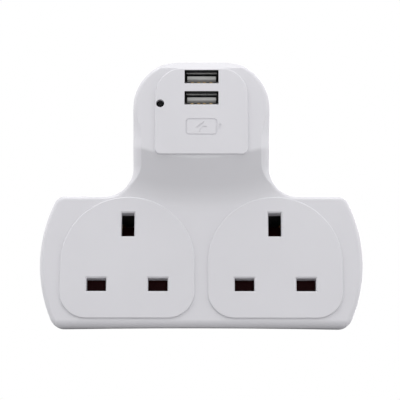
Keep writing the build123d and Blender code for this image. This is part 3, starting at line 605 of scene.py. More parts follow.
def smooth_step(t: Points) -> Points:
    """Smooth rise from 0 to 1: three times t squared less twice t cubed."""
    return t * t * (3 - 2 * t)


def unit(direction: Points) -> Points:
    """Direction of length one."""
    return np.asarray(direction) / np.linalg.norm(direction)


def grid_faces(rows: int, columns: int) -> Points:
    """Quads of a grid of points whose rows close on themselves.

    Args:
        rows: number of rows.
        columns: points in a row.

    Returns:
        Four point numbers a quad.
    """
    row = np.arange(rows - 1)[:, None]
    column = np.arange(columns)[None, :]
    after = (column + 1) % columns
    here, beyond = row * columns, (row + 1) * columns
    corners = (here + column, here + after, beyond + after, beyond + column)
    return np.stack(corners, axis=-1).reshape(-1, 4)


def as_faces(quads: Points) -> Faces:
    """Quads as a list of faces."""
    return [tuple(quad) for quad in quads.tolist()]


def capped_tube(points: Points) -> Solid:
    """Closes a tube of rings with one flat face at each end.

    Args:
        points: rings of points, as rows, columns and three coordinates.

    Returns:
        The points as a list of rows and the faces.
    """
    rows, columns, _ = points.shape
    faces = as_faces(grid_faces(rows, columns))
    faces.append(tuple(range(columns))[::-1])
    faces.append(tuple(range((rows - 1) * columns, rows * columns)))
    return points.reshape(-1, 3), faces


def rounded_loop(width: float, height: float, corner: float, steps: int = 6) -> Points:
    """Outline of a rectangle with rounded corners.

    Each corner is a quarter of a circle: its middle stands in from the sides by the corner's radius, and
    its points lie at even angles from one side to the next.

    Args:
        width: size across.
        height: size upwards.
        corner: radius of the corners.
        steps: arcs' points a corner, less one.

    Returns:
        Across and up of each point, against the clock from the right.
    """
    quarter = np.arange(4)[:, None]
    angle = (quarter + np.linspace(0.0, 1.0, steps + 1)[None, :]) * np.pi / 2
    middle = (quarter + 0.5) * np.pi / 2
    across = np.sign(np.cos(middle)) * (width / 2 - corner) + corner * np.cos(angle)
    up = np.sign(np.sin(middle)) * (height / 2 - corner) + corner * np.sin(angle)
    return np.stack([across, up], axis=-1).reshape(-1, 2)


def upright(loop: Points, distance: float, spot: Spot) -> Points:
    """Stands an outline on the plane at a distance in front of the plug face, round a spot."""
    return np.stack([loop[:, 0] + spot[0], np.full(len(loop), -distance), loop[:, 1] + spot[1]], axis=1)


def ring_solid(outer: Points, inner: Points, back: float, front: float, spot: Spot) -> Solid:
    """Tube between two outlines with as many points, closed at both ends.

    The surface goes round a box section: up the outer wall, across the front, down the inner wall and
    back across the rear, with the outlines as its rows.

    Args:
        outer: outline of the outer wall.
        inner: outline of the bore.
        back: distance of the rear end in front of the plug face.
        front: distance of the front end.
        spot: across and up of the middle.

    Returns:
        The points and the faces.
    """
    walls = ((outer, back), (outer, front), (inner, front), (inner, back))
    rows = np.stack([upright(loop, distance, spot) for loop, distance in walls])
    count, columns, _ = rows.shape
    quads = grid_faces(count + 1, columns) % (count * columns)
    return rows.reshape(-1, 3), as_faces(quads)


def prism_solid(loop: Points, back: float, front: float, spot: Spot) -> Solid:
    """Prism on an outline between two distances in front of the plug face; returns points and faces."""
    return capped_tube(np.stack([upright(loop, back, spot), upright(loop, front, spot)]))


def joined(solids: list[Solid]) -> Solid:
    """Puts several solids into one list of points and one of faces.

    Args:
        solids: points and faces of each solid.

    Returns:
        The points and the faces of all.
    """
    starts = np.cumsum([0] + [len(points) for points, _ in solids[:-1]])
    faces = [tuple(int(start) + n for n in face) for start, solid in zip(starts, solids) for face in solid[1]]
    return np.concatenate([points for points, _ in solids]), faces


def new_mesh(name: str, solid: Solid) -> bpy.types.Mesh:
    """Makes a mesh.

    Args:
        name: name of the mesh.
        solid: its points and faces.

    Returns:
        The mesh, with its faces as they are given.
    """
    mesh = bpy.data.meshes.new(name)
    mesh.from_pydata(solid[0].tolist(), [], solid[1])
    return mesh


def new_object(name: str, data: bpy.types.ID) -> bpy.types.Object:
    """Puts an object into the scene.

    Args:
        name: name of the object.
        data: its mesh, lamp or camera.

    Returns:
        The object.
    """
    thing = bpy.data.objects.new(name, data)
    bpy.context.scene.collection.objects.link(thing)
    return thing


def mend_faces(mesh: bpy.types.Mesh, merged: float = 0.0) -> None:
    """Joins close points, drops slivers and turns a mesh's faces outwards.

    Args:
        mesh: the mesh.
        merged: distance below which points are one, 0 to leave them as they are.
    """
    body = bmesh.new()
    body.from_mesh(mesh)
    if merged:
        bmesh.ops.remove_doubles(body, verts=body.verts, dist=merged)
        bmesh.ops.dissolve_degenerate(body, edges=body.edges, dist=merged)
    bmesh.ops.recalc_face_normals(body, faces=body.faces)
    body.to_mesh(mesh)
    body.free()


def soften(mesh: bpy.types.Mesh, crease: float) -> None:
    """Shades a mesh smoothly, with the edges sharp that are bent by more than an angle."""
    mesh.shade_smooth()
    mesh.set_sharp_from_angle(angle=crease)


def new_piece(name: str, solid: Solid, slot: str, crease: float = CREASE) -> bpy.types.Object:
    """Makes a piece of the scene that rides on the housing.

    Args:
        name: name of the piece.
        solid: its points and faces.
        slot: the record's material slot.
        crease: edges bent by more than this angle stay sharp, in radians.

    Returns:
        The piece, dressed in its slot's material and parented to the housing's body.
    """
    mesh = new_mesh(name, solid)
    mend_faces(mesh)
    soften(mesh, crease)
    mesh.materials.append(MATERIALS[slot])
    piece = new_object(name, mesh)
    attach(piece, HOUSING)
    log.info("made %s, %d faces", name, len(solid[1]))
    return piece


def apply_modifier(piece: bpy.types.Object, kind: str, **options: object) -> None:
    """Runs a modifier on a piece and keeps its mesh.

    Args:
        piece: the piece.
        kind: Blender's name of the modifier type.
        options: properties of the modifier.
    """
    modifier = piece.modifiers.new(kind.lower(), kind)
    for key, value in options.items():
        setattr(modifier, key, value)
    seen = piece.evaluated_get(bpy.context.evaluated_depsgraph_get())
    piece.data = bpy.data.meshes.new_from_object(seen)
    piece.modifiers.remove(modifier)


def cut_copy(node: str, name: str, solid: Solid) -> None:
    """Makes a piece that rides on the housing by cutting a solid out of a merged copy of a node.

    Args:
        node: name of the node, which the piece stands for and is dressed as.
        name: name of the piece.
        solid: points and faces of what is cut away.
    """
    knife = new_object(f"{name}_knife", new_mesh(f"{name}_knife", solid))
    mend_faces(knife.data)
    mesh = frame["nodes"][node].data.copy()
    mesh.name = name
    mesh.attributes.remove(mesh.attributes["custom_normal"])
    mend_faces(mesh, MERGED)
    piece = new_object(name, mesh)
    apply_modifier(piece, "BOOLEAN", operation="DIFFERENCE", solver="EXACT", object=knife)
    bpy.data.objects.remove(knife)
    mend_faces(piece.data, SLIVER)
    soften(piece.data, CUT_CREASE)
    apply_modifier(piece, "WEIGHTED_NORMAL", keep_sharp=True)
    piece.data.materials.clear()
    piece.data.materials.append(MATERIALS[NODE_SLOTS[node]])
    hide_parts(node)
    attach(piece, HOUSING)
    log.info("made %s, %d faces", name, len(piece.data.polygons))


class Assembly:
    """Nodes of the frame that belong together.

    Attributes:
        nodes: names of the nodes.
    """

    nodes: tuple[str, ...]

    def dress(self) -> None:
        """Gives the nodes their materials."""
        for name in self.nodes:
            dress_node(name)


@dataclass
class Case(Assembly):
    """The moulded case with its plates and screws, a neck with rounded edges and a sign sunk into its panel.

    Attributes:
        neck_half: half the neck's width.
        neck_radius: radius of the corner between the neck and the bar.
        neck_foot: height at which that corner starts.
        rim_top: height at which the neck's edge starts to be rounder than the shell's other edges.
        rim_tail: how far the rounding is carried along the bar past the corner.
        rim_reach: least and greatest reach of the rounding of the neck's edge.
        rim_steep: how many times the reach the rounding drops on the side wall.
        swell_run: height over which the reach swells from the least to the greatest.
        fade_turn: angle of the corner over which the reach would fade by the turn alone.
        fade_top: height from which the reach also fades by the height.
        fade_run: height over which it would fade by the height alone.
        path_steps: places on the path along the side, round the corner and along the bar.
        section_steps: points of the rounding's section.
        lap: how far the cutter is carried past the rounding, over the face.
        side_air: how far the cutter stands out from the side wall.
        front_air: how far the cutter stands out from the face.
        bar_front: distance of the bar's face in front of the plug face.
        head_front: distance of the head's face in front of the plug face.
        cove_axis: height of the axis that the cove is turned about.
        cove_radius: radius of the cove's arc.
        cove_angle: angle of the cove's slope.
        head_edge: height of the head's lower edge in the middle.
        brow_radius: radius of that edge's rounding.
        sign_height: height of the sign's middle.
        cell_width: width of the sign's cell.
        cell_height: height of the cell.
        cell_corner: radius of the cell's corners.
        stroke: width of the sign's lines.
        sunk: depth of the sign.
        knob: width and height of the cell's terminal.
        knob_corner: radius of its corners.
        knob_gap: distance of its middle from the cell.
        bolt: corners of the bolt in the cell, across and up in millimetres.
        nodes: the case's nodes.
    """

    neck_half: float = 25.1 * MM
    neck_radius: float = 10.3 * MM
    neck_foot: float = -13.9 * MM
    rim_top: float = 8.0 * MM
    rim_tail: float = 2.0 * MM
    rim_reach: tuple[float, float] = (1.0 * MM, 3.3 * MM)
    rim_steep: float = 1.5
    swell_run: float = 13.0 * MM
    fade_turn: float = 1.15
    fade_top: float = -10.0 * MM
    fade_run: float = 40.0 * MM
    path_steps: tuple[int, int, int] = (36, 44, 4)
    section_steps: int = 14
    lap: float = 1.0 * MM
    side_air: float = 1.2 * MM
    front_air: float = 1.6 * MM
    bar_front: float = 38.0 * MM
    head_front: float = 46.0 * MM
    cove_axis: float = 60.0 * MM
    cove_radius: float = 20.0 * MM
    cove_angle: float = np.pi / 6
    head_edge: float = -11.9 * MM
    brow_radius: float = 3.0 * MM
    sign_height: float = -0.6 * MM
    cell_width: float = 11.6 * MM
    cell_height: float = 6.4 * MM
    cell_corner: float = 1.3 * MM
    stroke: float = 0.55 * MM
    sunk: float = 0.22 * MM
    knob: tuple[float, float] = (0.9 * MM, 2.4 * MM)
    knob_corner: float = 0.3 * MM
    knob_gap: float = 0.95 * MM
    bolt: tuple[Spot, ...] = ((1.0, 2.2), (-2.1, -0.3), (-0.35, -0.3), (-1.0, -2.2), (2.1, 0.3), (0.35, 0.3))
    nodes: tuple[str, ...] = (
        "front_cover",
        "socket_plate_left",
        "socket_plate_right",
        "head_panel",
        "rear_cover",
        "case_screws",
    )

    def face_distance(self, across: Points, up: Points) -> Points:
        """Distance of the shell's front face in front of the plug face.

        It depends on the distance from the cove's axis alone: going in, the bar's plane is followed by an
        arc, a straight slope, an arc over the head's edge and the head's plane.

        Args:
            across: places to the right.
            up: heights.

        Returns:
            The distances.
        """
        steep = np.tan(self.cove_angle)
        rise = self.head_front - self.bar_front
        arc_rise = self.cove_radius * (1 - np.cos(self.cove_angle))
        shoulder = self.head_edge - (rise - arc_rise) / steep
        heel = shoulder - self.cove_radius * np.sin(self.cove_angle)
        brow = self.brow_radius * np.tan(self.cove_angle / 2)
        level = self.cove_axis - np.hypot(across, self.cove_axis - up)
        climb = np.clip(level - heel, 0.0, self.cove_radius)
        arc = self.bar_front + self.cove_radius - np.sqrt(self.cove_radius**2 - climb**2)
        slope = self.head_front + (level - self.head_edge) * steep
        short = np.clip(self.head_edge + brow - level, 0.0, self.brow_radius)
        over = self.head_front - self.brow_radius + np.sqrt(self.brow_radius**2 - short**2)
        ends = (heel, shoulder, self.head_edge - brow * np.cos(self.cove_angle), self.head_edge + brow)
        flats = (np.full_like(level, self.bar_front), arc, slope, over)
        return np.select([level < end for end in ends], flats, self.head_front)

    def neck_path(self) -> tuple[Points, Points, Points]:
        """Path of the neck's right edge: down its side, round its corner and a little along the bar.

        Returns:
            Columns of the places across, the heights and the bearings of the way into the shell.
        """
        side_steps, corner_steps, tail_steps = self.path_steps
        down = np.linspace(self.rim_top, self.neck_foot, side_steps)[:-1]
        turn = np.linspace(np.pi, 1.5 * np.pi, corner_steps)
        tail = np.linspace(0.0, self.rim_tail, tail_steps)[1:]
        middle = self.neck_half + self.neck_radius
        corner_x = middle + self.neck_radius * np.cos(turn)
        corner_z = self.neck_foot + self.neck_radius * np.sin(turn)
        across = np.concatenate([np.full_like(down, self.neck_half), corner_x, middle + tail])
        up = np.concatenate([down, corner_z, np.full_like(tail, corner_z[-1])])
        bearing = np.concatenate([np.full_like(down, np.pi), turn, np.full_like(tail, turn[-1])])
        return across[:, None], up[:, None], bearing[:, None]

    def neck_reach(self, up: Points, bearing: Points) -> Points:
        """Reach of the rounding along the path: it swells down the neck and fades round the corner.

        Args:
            up: heights on the path.
            bearing: bearings on the path.

        Returns:
            The reach at each place.
        """
        swell = np.clip((self.rim_top - up) / self.swell_run, 0.0, 1.0)
        turned = (bearing - np.pi) / self.fade_turn
        fade = np.clip(turned + (self.fade_top - up) / self.fade_run, 0.0, 1.0)
        thin, thick = self.rim_reach
        return thin + (thick - thin) * smooth_step(swell) * (1 - smooth_step(fade))

    def neck_edge(self, side: Side) -> Solid:
        """Makes what is cut from one of the neck's edges to round it.

        At each place of the path the section is a parabola that leaves the side wall along it: v from 0 to 1
        goes inwards by the reach times v squared, and the drop below the front face is the reach times one
        less v, made steeper. The section goes on straight past the face and closes in the air outside.

        Args:
            side: which of the two edges.

        Returns:
            The points and the faces.
        """
        across, up, bearing = self.neck_path()
        reach = self.neck_reach(up, bearing)
        v = np.linspace(0.0, 1.0, self.section_steps)[None, :]
        inset = reach * v**2
        drop = self.rim_steep * reach * (1 - v)
        one = np.ones_like(reach)
        beyond, past = inset[:, -1:] + self.lap, -self.rim_steep / 2 * self.lap * one
        out, air = -self.side_air * one, -self.front_air * one
        inset = np.concatenate([out, inset, beyond, beyond, out], axis=1)
        drop = np.concatenate([drop[:, :1], drop, past, air, air], axis=1)
        inner = np.maximum(inset, 0.0)
        face = self.face_distance(across + inner * np.cos(bearing), up + inner * np.sin(bearing))
        places = (side.value * (across + inset * np.cos(bearing)), drop - face, up + inset * np.sin(bearing))
        return capped_tube(np.stack(places, axis=-1))

    def cover(self) -> None:
        """Makes the front shell with its neck's edges rounded."""
        cut_copy("front_cover", "rounded_cover", joined([self.neck_edge(side) for side in Side]))

    def sign(self, face: float) -> Solid:
        """Makes what is cut for the sign: the cell's outline, its terminal and the bolt.

        Args:
            face: distance of the panel's face in front of the plug face.

        Returns:
            The points and faces, from the sign's floor to outside the face.
        """
        back, front = face - self.sunk, face + self.sunk
        line = 2 * self.stroke
        outer = rounded_loop(self.cell_width, self.cell_height, self.cell_corner)
        inner = rounded_loop(self.cell_width - line, self.cell_height - line, self.cell_corner - self.stroke)
        knob = rounded_loop(*self.knob, self.knob_corner)
        middle = (0.0, self.sign_height)
        knob_spot = (self.cell_width / 2 + self.knob_gap, self.sign_height)
        return joined(
            [
                ring_solid(outer, inner, back, front, middle),
                prism_solid(knob, back, front, knob_spot),
                prism_solid(np.array(self.bolt) * MM, back, front, middle),
            ]
        )

    def panel(self) -> None:
        """Makes the head's panel with its sign."""
        cut_copy("head_panel", "signed_panel", self.sign(-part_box("head_panel")[0][1]))


@dataclass
class PlugEnd(Assembly):
    """The plug pins with their sleeves, and the fuse in its drawer.

    Attributes:
        nodes: the plug's nodes.
    """

    nodes: tuple[str, ...] = (
        "earth_pin",
        "live_pin",
        "neutral_pin",
        "live_pin_sleeve",
        "neutral_pin_sleeve",
        "fuse_carrier",
        "fuse_body",
        "fuse_caps",
        "fuse_clip_line",
        "fuse_clip_load",
    )


@dataclass
class Outlet(Assembly):
    """One socket's shutter, its coil spring and the block that holds the contacts.

    Attributes:
        side: which socket it is.
        turns: turns of the coil.
        dead_turns: turns that lie flat, half of them at each end.
        wire: thickness of the spring's wire.
        kept: share of the coil's height left when the shutter is down.
        steps: places along the wire.
        around: points round the wire.
    """

    side: Side
    turns: float = 4.0
    dead_turns: float = 0.5
    wire: float = 0.4 * MM
    # kept: share of the coil's height left when the shutter is down; not used.
    kept: float = 0.215
    steps: int = 160
    around: int = 12

    @property
    def nodes(self) -> tuple[str, ...]:
        """Names of the outlet's nodes."""
        return tuple(f"{stem}_{self.side.label}" for stem in ("shutter", "shutter_spring", "contact_carrier"))

    def coil(self) -> None:
        """Winds the spring, which stands for the node of its own name.

        The centre line climbs a circle: its angle grows evenly with u, and its height is the mean of an
        even and a smooth rise between the dead turns. At each u the wire's round section stands on the
        outward direction and on the direction square to it and to the wire.
        """
        node = f"shutter_spring_{self.side.label}"
        low, high = (np.array(corner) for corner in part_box(node))
        radius = (high[0] - low[0] - self.wire) / 2
        middle = (low + high) / 2
        u = np.linspace(0.0, 1.0, self.steps)
        angle = 2 * np.pi * self.turns * u
        rest = self.dead_turns / self.turns
        t = np.clip((u - rest / 2) / (1 - rest), 0.0, 1.0)
        climb = (smooth_step(t) + t) / 2
        foot, top = low[2] + self.wire / 2, high[2] - self.wire / 2
        out = np.stack([np.cos(angle), np.sin(angle), np.zeros_like(u)], axis=1)
        line = middle + radius * out
        line[:, 2] = foot + (top - foot) * climb
        along = np.gradient(line, axis=0)
        along /= np.linalg.norm(along, axis=1, keepdims=True)
        across = np.cross(along, out)
        v = 2 * np.pi * np.arange(self.around) / self.around
        section = np.cos(v)[None, :, None] * out[:, None] + np.sin(v)[None, :, None] * across[:, None]
        points = line[:, None] + self.wire / 2 * section
        piece = new_piece(f"coil_{self.side.label}", capped_tube(points), "spring_steel", COIL_CREASE)
        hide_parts(node)
        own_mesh(piece)


@dataclass
class ChargingPort(Assembly):
    """One charging port: pressed shell, tongue, contacts, a black liner of painted shade and the shell's
    sprung strips.

    Attributes:
        level: which port it is.
        width: width of the opening.
        height: height of the opening.
        fit: gap between the opening and what lies on its walls.
        liner_wall: thickness of the liner.
        liner_setback: distance of the liner's front behind the panel's face.
        liner_corners: radii of the liner's outer and inner corners.
        lip: thickness of the shell's turned lips.
        lip_width: width of the lips.
        lip_depth: length of the lips.
        lip_corner: radius of the lips' edges.
        finger_length: length of a sprung strip.
        finger_width: width of a sprung strip.
        finger_wall: thickness of a sprung strip.
        finger_bend: how far a strip bends in from the wall.
        finger_across: distance of the strips from the port's middle.
        finger_setback: distance of their fronts behind the shell's.
        finger_steps: places along a strip.
        tongue_width: width of the tongue's blade.
        tongue_thickness: thickness of the blade.
        tongue_lift: height of the blade's middle above the port's.
        tongue_round: radius of the blade's front edges.
        tongue_ramp: height and length of the slope under the blade's nose.
        tongue_steps: points of an edge's arc.
    """

    level: Level
    width: float = 12.5 * MM
    height: float = 5.15 * MM
    fit: float = 0.01 * MM
    liner_wall: float = 0.15 * MM
    liner_setback: float = 0.15 * MM
    liner_corners: tuple[float, float] = (0.25 * MM, 0.15 * MM)
    lip: float = 0.36 * MM
    lip_width: float = 11.2 * MM
    lip_depth: float = 0.5 * MM
    lip_corner: float = 0.1 * MM
    finger_length: float = 5.6 * MM
    finger_width: float = 2.0 * MM
    finger_wall: float = 0.2 * MM
    finger_bend: float = 0.32 * MM
    finger_across: float = 3.2 * MM
    finger_setback: float = 0.6 * MM
    finger_steps: int = 25
    tongue_width: float = 10.6 * MM
    tongue_thickness: float = 1.84 * MM
    tongue_lift: float = 0.83 * MM
    tongue_round: float = 0.2 * MM
    tongue_ramp: tuple[float, float] = (0.55 * MM, 1.5 * MM)
    tongue_steps: int = 9

    @property
    def nodes(self) -> tuple[str, ...]:
        """Names of the port's nodes."""
        return tuple(f"{stem}_{self.level.label}" for stem in ("usb_shell", "usb_tongue", "usb_contacts"))

    def middle(self) -> float:
        """Height of the port's middle."""
        low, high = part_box(f"usb_shell_{self.level.label}")
        return (low[2] + high[2]) / 2

    def shell_front(self) -> float:
        """Distance of the shell's front in front of the plug face."""
        return -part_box(f"usb_shell_{self.level.label}")[0][1]

    def liner(self) -> None:
        """Lines the opening in the panel with a thin black sheet, painted shade that makes its walls read
        dark.
        """
        low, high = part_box("head_panel")
        back, front = -high[1], -low[1] - self.liner_setback
        loops = []
        for trim, corner in zip((self.fit, self.fit + self.liner_wall), self.liner_corners):
            loops.append(rounded_loop(self.width - 2 * trim, self.height - 2 * trim, corner))
        solid = ring_solid(*loops, back, front, (0.0, self.middle()))
        # painted shade: a black sheet on the opening's walls
        new_piece(f"port_liner_{self.level.label}", solid, "chip_black")

    def tongue(self) -> None:
        """Rounds the nose of the tongue's blade and slopes it underneath.

        The blade keeps what lies inside a profile that is carried straight across the port. The profile goes
        over the upper front edge in a quarter circle, down the nose, round an arc of the same radius that
        runs into the slope, and back along the slope to the underside.
        """
        node = f"usb_tongue_{self.level.label}"
        nose = -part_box(node)[0][1]
        half, edge = self.tongue_thickness / 2, self.tongue_round
        rise, run = self.tongue_ramp
        last = np.arctan2(run, rise)
        arc_middle = (edge + np.cos(last) * (run - edge)) / np.sin(last) - half
        turn = np.linspace(0.0, 1.0, self.tongue_steps)[:, None]
        over, under = turn * np.pi / 2, turn * last
        top = np.hstack([edge * np.sin(over) - edge, half - edge + edge * np.cos(over)])
        foot = np.hstack([edge * np.cos(under) - edge, arc_middle - edge * np.sin(under)])
        outside = (
            np.vstack([top, [(AIR, half - edge), (AIR, half + AIR), (-edge, half + AIR)]]),
            np.vstack([foot, [(-run, -half), (-run, -half - AIR), (AIR, -half - AIR), (AIR, arc_middle)]]),
        )
        solids = []
        for loop in outside:
            rows = [np.insert(loop, 0, side.value * self.tongue_width, axis=1) for side in Side]
            points = np.stack(rows) * (1, -1, 1) + (0.0, -nose, self.middle() + self.tongue_lift)
            solids.append(capped_tube(points))
        cut_copy(node, f"port_tongue_{self.level.label}", joined(solids))

    def lips(self) -> None:
        """Makes the lips that the shell's upper and lower walls turn into the opening."""
        back = self.shell_front()
        reach = self.height / 2 - self.fit - self.liner_wall - self.lip / 2
        loop = rounded_loop(self.lip_width, self.lip, self.lip_corner)
        for wall in Wall:
            spot = (0.0, self.middle() + wall.value * reach)
            solid = prism_solid(loop, back, back + self.lip_depth, spot)
            new_piece(f"port_lip_{wall.label}_{self.level.label}", solid, "screw_steel")

    def finger(self, wall: Wall, side: Side) -> Solid:
        """Makes one of the sprung strips inside the shell.

        Its centre line leaves the wall along a raised half wave: at u from 0 to 1 it stands in by the bend
        times the square of the sine of u times half a turn. Its section is a flat rectangle.

        Args:
            wall: which wall it leaves.
            side: which of the wall's two strips it is.

        Returns:
            The points and the faces.
        """
        u = np.linspace(0.0, 1.0, self.finger_steps)
        along = self.finger_length * u - (self.shell_front() - self.finger_setback)
        bent = self.finger_bend * np.sin(np.pi * u) ** 2
        near = self.middle() + wall.value * (self.height / 2 - self.fit - bent)
        far = near - wall.value * self.finger_wall
        across, half = side.value * self.finger_across, self.finger_width / 2
        section = ((across - half, near), (across + half, near), (across + half, far), (across - half, far))
        rows = [np.stack([np.full_like(u, x), along, up], axis=1) for x, up in section]
        return capped_tube(np.stack(rows, axis=1))

    def fingers(self) -> None:
        """Makes two sprung strips on the shell's upper wall and two on its lower wall."""
        for wall in Wall:
            for side in Side:
                name = f"port_spring_{wall.label}_{side.label}_{self.level.label}"
                # dressed in the darkened port steel, painted shade
                new_piece(name, self.finger(wall, side), "port_steel")


@dataclass
class Charger(Assembly):
    """The charger's board with what stands on it, and the indicator.

    Attributes:
        nodes: the charger's nodes.
    """

    nodes: tuple[str, ...] = (
        "charger_board",
        "transformer_core",
        "transformer_bobbin",
        "input_capacitor",
        "output_capacitor",
        "controller_chip",
        "board_screws",
        "indicator_lens",
        "indicator_led",
    )


@dataclass
class Wiring(Assembly):
    """The strips that join the contacts, and the leads.

    Attributes:
        nodes: the strips' and leads' nodes.
    """

    nodes: tuple[str, ...] = (
        "live_busbar",
        "neutral_busbar",
        "earth_busbar",
        "live_lead",
        "charger_live_lead",
        "charger_neutral_lead",
    )


def stand(holder: bpy.types.Object, place: Points, right: Points, back: Points) -> None:
    """Puts a lamp or camera at a place.

    Args:
        holder: the lamp or camera, which looks away from its back.
        place: where it stands.
        right: direction of its right, of length one.
        back: direction of its back, of length one and square to its right.
    """
    turn = np.stack([right, np.cross(back, right), back], axis=1)
    holder.matrix_world = Matrix.Translation(place) @ Matrix(turn.tolist()).to_4x4()


@dataclass(frozen=True)
class Softbox:
    """A square lamp that faces the object.

    Attributes:
        name: name of the lamp.
        towards: direction from the object to the lamp.
        away: distance from the object.
        side: length of the lamp's side.
        share: share of the light on a surface that faces the lamp, where 1 shows a colour as written.
        mirrored: True where glossy surfaces show the lamp.
    """

    name: str
    towards: tuple[float, float, float]
    away: float
    side: float
    share: float
    mirrored: bool = True

    def place(self, middle: Points) -> None:
        """Hangs the lamp so that it faces a point.

        Args:
            middle: the point.
        """
        lamp = bpy.data.lights.new(self.name, "AREA")
        lamp.shape = "SQUARE"
        lamp.size = self.side
        lamp.energy = np.pi**2 * self.share * self.away**2
        holder = new_object(self.name, lamp)
        holder.visible_camera = False
        holder.visible_glossy = self.mirrored
        direction = unit(self.towards)
        stand(holder, middle + direction * self.away, unit(np.cross((0.0, 0.0, 1.0), direction)), direction)


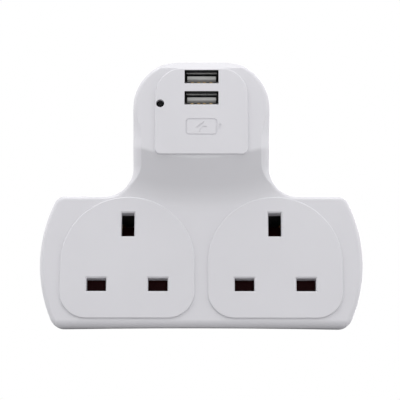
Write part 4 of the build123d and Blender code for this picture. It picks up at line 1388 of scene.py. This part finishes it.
@dataclass
class Studio:
    """Camera, lamps, white surroundings and the pale floor.

    Attributes:
        eye: place of the camera.
        forward: direction that the camera looks in.
        right: direction of the picture's right.
        lens: focal length for a sensor of the given width, both in millimetres.
        sensor: width of the sensor.
        nearest: distance from which the camera sees.
        surround: strength of the surroundings as they light the object.
        floor_gap: gap between the object and the floor.
        floor_hub: radius of the floor's innermost ring.
        floor_radius: radius of the floor.
        floor_rings: number of the floor's rings.
        floor_spokes: points on each ring.
        floor_spread: power by which the rings stand further apart outwards.
        floor_seen: distances from the middle at which the floor starts to whiten to the eye and is gone.
        floor_thinned: distances from the middle at which it starts to thin out to all light and is gone.
        floor_tones: darkest and lightest of its clouded greys.
        floor_mute: grey of the floor as it lights the object.
        floor_rough: roughness of the floor.
        floor_gloss: level of the mirror-like share of the light on the floor.
        lamps: the lamps.
    """

    eye: tuple[float, float, float] = (0.00307, -0.522, -0.1515)
    forward: tuple[float, float, float] = (-0.00716, 0.96794, 0.25107)
    right: tuple[float, float, float] = (0.99997, 0.00671, 0.00264)
    lens: float = 122.88
    sensor: float = 36.0
    nearest: float = 0.01
    surround: float = 0.50
    floor_gap: float = 0.0003
    floor_hub: float = 0.01
    floor_radius: float = 1.6
    floor_rings: int = 12
    floor_spokes: int = 64
    floor_spread: float = 1.5
    floor_seen: tuple[float, float] = (0.15, 0.42)
    floor_thinned: tuple[float, float] = (0.4, 1.52)
    floor_tones: tuple[float, float] = (0.86, 0.90)
    floor_mute: float = 0.20
    floor_rough: float = 0.8
    floor_gloss: float = 0.1
    lamps: list[Softbox] = field(
        default_factory=lambda: [
            Softbox("lamp_top", (-0.08, -0.38, 0.92), away=0.52, side=0.45, share=0.57),
            Softbox("lamp_front", (0.0, -0.96, -0.28), away=1.2, side=0.8, share=0.23),
            Softbox("lamp_left", (-0.97, -0.20, 0.10), away=1.2, side=1.8, share=0.92, mirrored=False),
            Softbox("lamp_right", (0.97, -0.20, 0.10), away=1.2, side=1.8, share=0.92, mirrored=False),
            Softbox("lamp_back", (0.2, 0.92, 0.35), away=1.2, side=0.9, share=0.55),
        ]
    )

    def hang_camera(self) -> None:
        """Puts the camera at the photograph's viewing angle.

        The picture's right is first made square to the direction that the camera looks in.
        """
        camera = bpy.data.cameras.new("camera")
        camera.sensor_width = self.sensor
        camera.lens = self.lens
        camera.clip_start = self.nearest
        forward, right = unit(self.forward), np.array(self.right)
        holder = new_object("camera", camera)
        stand(holder, self.eye, unit(right - forward * right.dot(forward)), -forward)
        bpy.context.scene.camera = holder

    def surroundings(self) -> None:
        """Makes the surroundings.

        They are white to the eye and in reflections, and a softer light on the object.
        """
        world = bpy.data.worlds.new("surroundings")
        world.use_nodes = True
        bpy.context.scene.world = world
        graph = Graph(world.node_tree)
        seen = world.node_tree.nodes["Background"]
        seen.inputs["Color"].default_value = WHITE
        seen.inputs["Strength"].default_value = 1.0
        soft = graph.add("ShaderNodeBackground", {"Color": WHITE, "Strength": self.surround})
        path = graph.add("ShaderNodeLightPath").outputs
        mirrored = graph.math("MAXIMUM", path["Is Glossy Ray"], path["Is Transmission Ray"])
        shown = graph.math("MAXIMUM", path["Is Camera Ray"], mirrored)
        mixed = graph.add("ShaderNodeMixShader", {0: shown, 1: soft.outputs[0], 2: seen.outputs[0]})
        graph.link(mixed.outputs[0], world.node_tree.nodes["World Output"], "Surface")

    def floor_material(self) -> bpy.types.Material:
        """Makes the floor's look: clouded pale grey that thins out to the white beyond.

        It is seen from above only, lets the lamps' light through and throws little light on the object.

        Returns:
            The material.
        """
        material, graph, shader = opened_material("floor_pale")
        place = graph.place()
        dark, light = ((tone, tone, tone, 1.0) for tone in self.floor_tones)
        pale = graph.tinted("MIX", graph.noise(place, scale=8.0, detail=3.0), dark, light)
        path = graph.add("ShaderNodeLightPath").outputs
        mute = (self.floor_mute, self.floor_mute, self.floor_mute, 1.0)
        graph.link(graph.tinted("MIX", path["Is Diffuse Ray"], pale, mute), shader, "Base Color")
        shader.inputs["Roughness"].default_value = self.floor_rough
        shader.inputs["Specular IOR Level"].default_value = self.floor_gloss
        reach = graph.add("ShaderNodeVectorMath", {0: place}, operation="LENGTH").outputs["Value"]
        gone = graph.span(reach, self.floor_thinned, (0.0, 1.0))
        far = graph.span(reach, self.floor_seen, (0.0, 1.0))
        whitened = graph.math("MULTIPLY", far, path["Is Camera Ray"])
        behind = graph.add("ShaderNodeNewGeometry").outputs["Backfacing"]
        for hidden in (behind, path["Is Shadow Ray"], whitened):
            gone = graph.math("MAXIMUM", gone, hidden)
        clear = graph.add("ShaderNodeBsdfTransparent")
        mixed = graph.add("ShaderNodeMixShader", {0: gone, 1: shader.outputs[0], 2: clear.outputs[0]})
        graph.link(mixed.outputs[0], material.node_tree.nodes["Material Output"], "Surface")
        return material

    def floor(self) -> None:
        """Lays the floor under the object.

        It is made of rings round the middle: the radius grows from the hub to the rim by a power of u.
        """
        level = CAD_BOX[0][2] - self.floor_gap
        u = np.linspace(0.0, 1.0, self.floor_rings)[:, None] ** self.floor_spread
        v = 2 * np.pi * np.arange(self.floor_spokes)[None, :] / self.floor_spokes
        radius = self.floor_hub + (self.floor_radius - self.floor_hub) * u
        x, y = radius * np.cos(v), radius * np.sin(v)
        points = np.stack([x, y, np.full_like(x, level)], axis=-1).reshape(-1, 3)
        faces = as_faces(grid_faces(self.floor_rings, self.floor_spokes)[:, ::-1])
        faces.append(tuple(range(self.floor_spokes)))
        floor = new_object("floor", new_mesh("floor", (points, faces)))
        floor.data.materials.append(self.floor_material())

    def build(self) -> None:
        """Sets up the camera, lamps, surroundings and floor.

        The lamps face the middle of the object's box.
        """
        self.hang_camera()
        middle = (np.array(CAD_BOX[0]) + np.array(CAD_BOX[1])) / 2
        for lamp in self.lamps:
            lamp.place(middle)
        self.surroundings()
        self.floor()
        bpy.context.scene.view_settings.view_transform = "Standard"


def main() -> None:
    """Builds the sub-assemblies in order, dresses them and sets up the studio.
    """
    logging.basicConfig(level=logging.INFO, format="%(message)s")
    case = Case()
    outlets = [Outlet(side) for side in Side]
    ports = [ChargingPort(level) for level in Level]
    for assembly in (case, PlugEnd(), *outlets, *ports, Charger(), Wiring()):
        assembly.dress()
    case.cover()
    case.panel()
    for outlet in outlets:
        outlet.coil()
    for port in ports:
        # each port's opening gets a black sheet of painted shade
        port.liner()
        port.tongue()
        port.lips()
        port.fingers()
    Studio().build()
    bpy.context.view_layer.update()


if __name__ == "__main__":
    main()
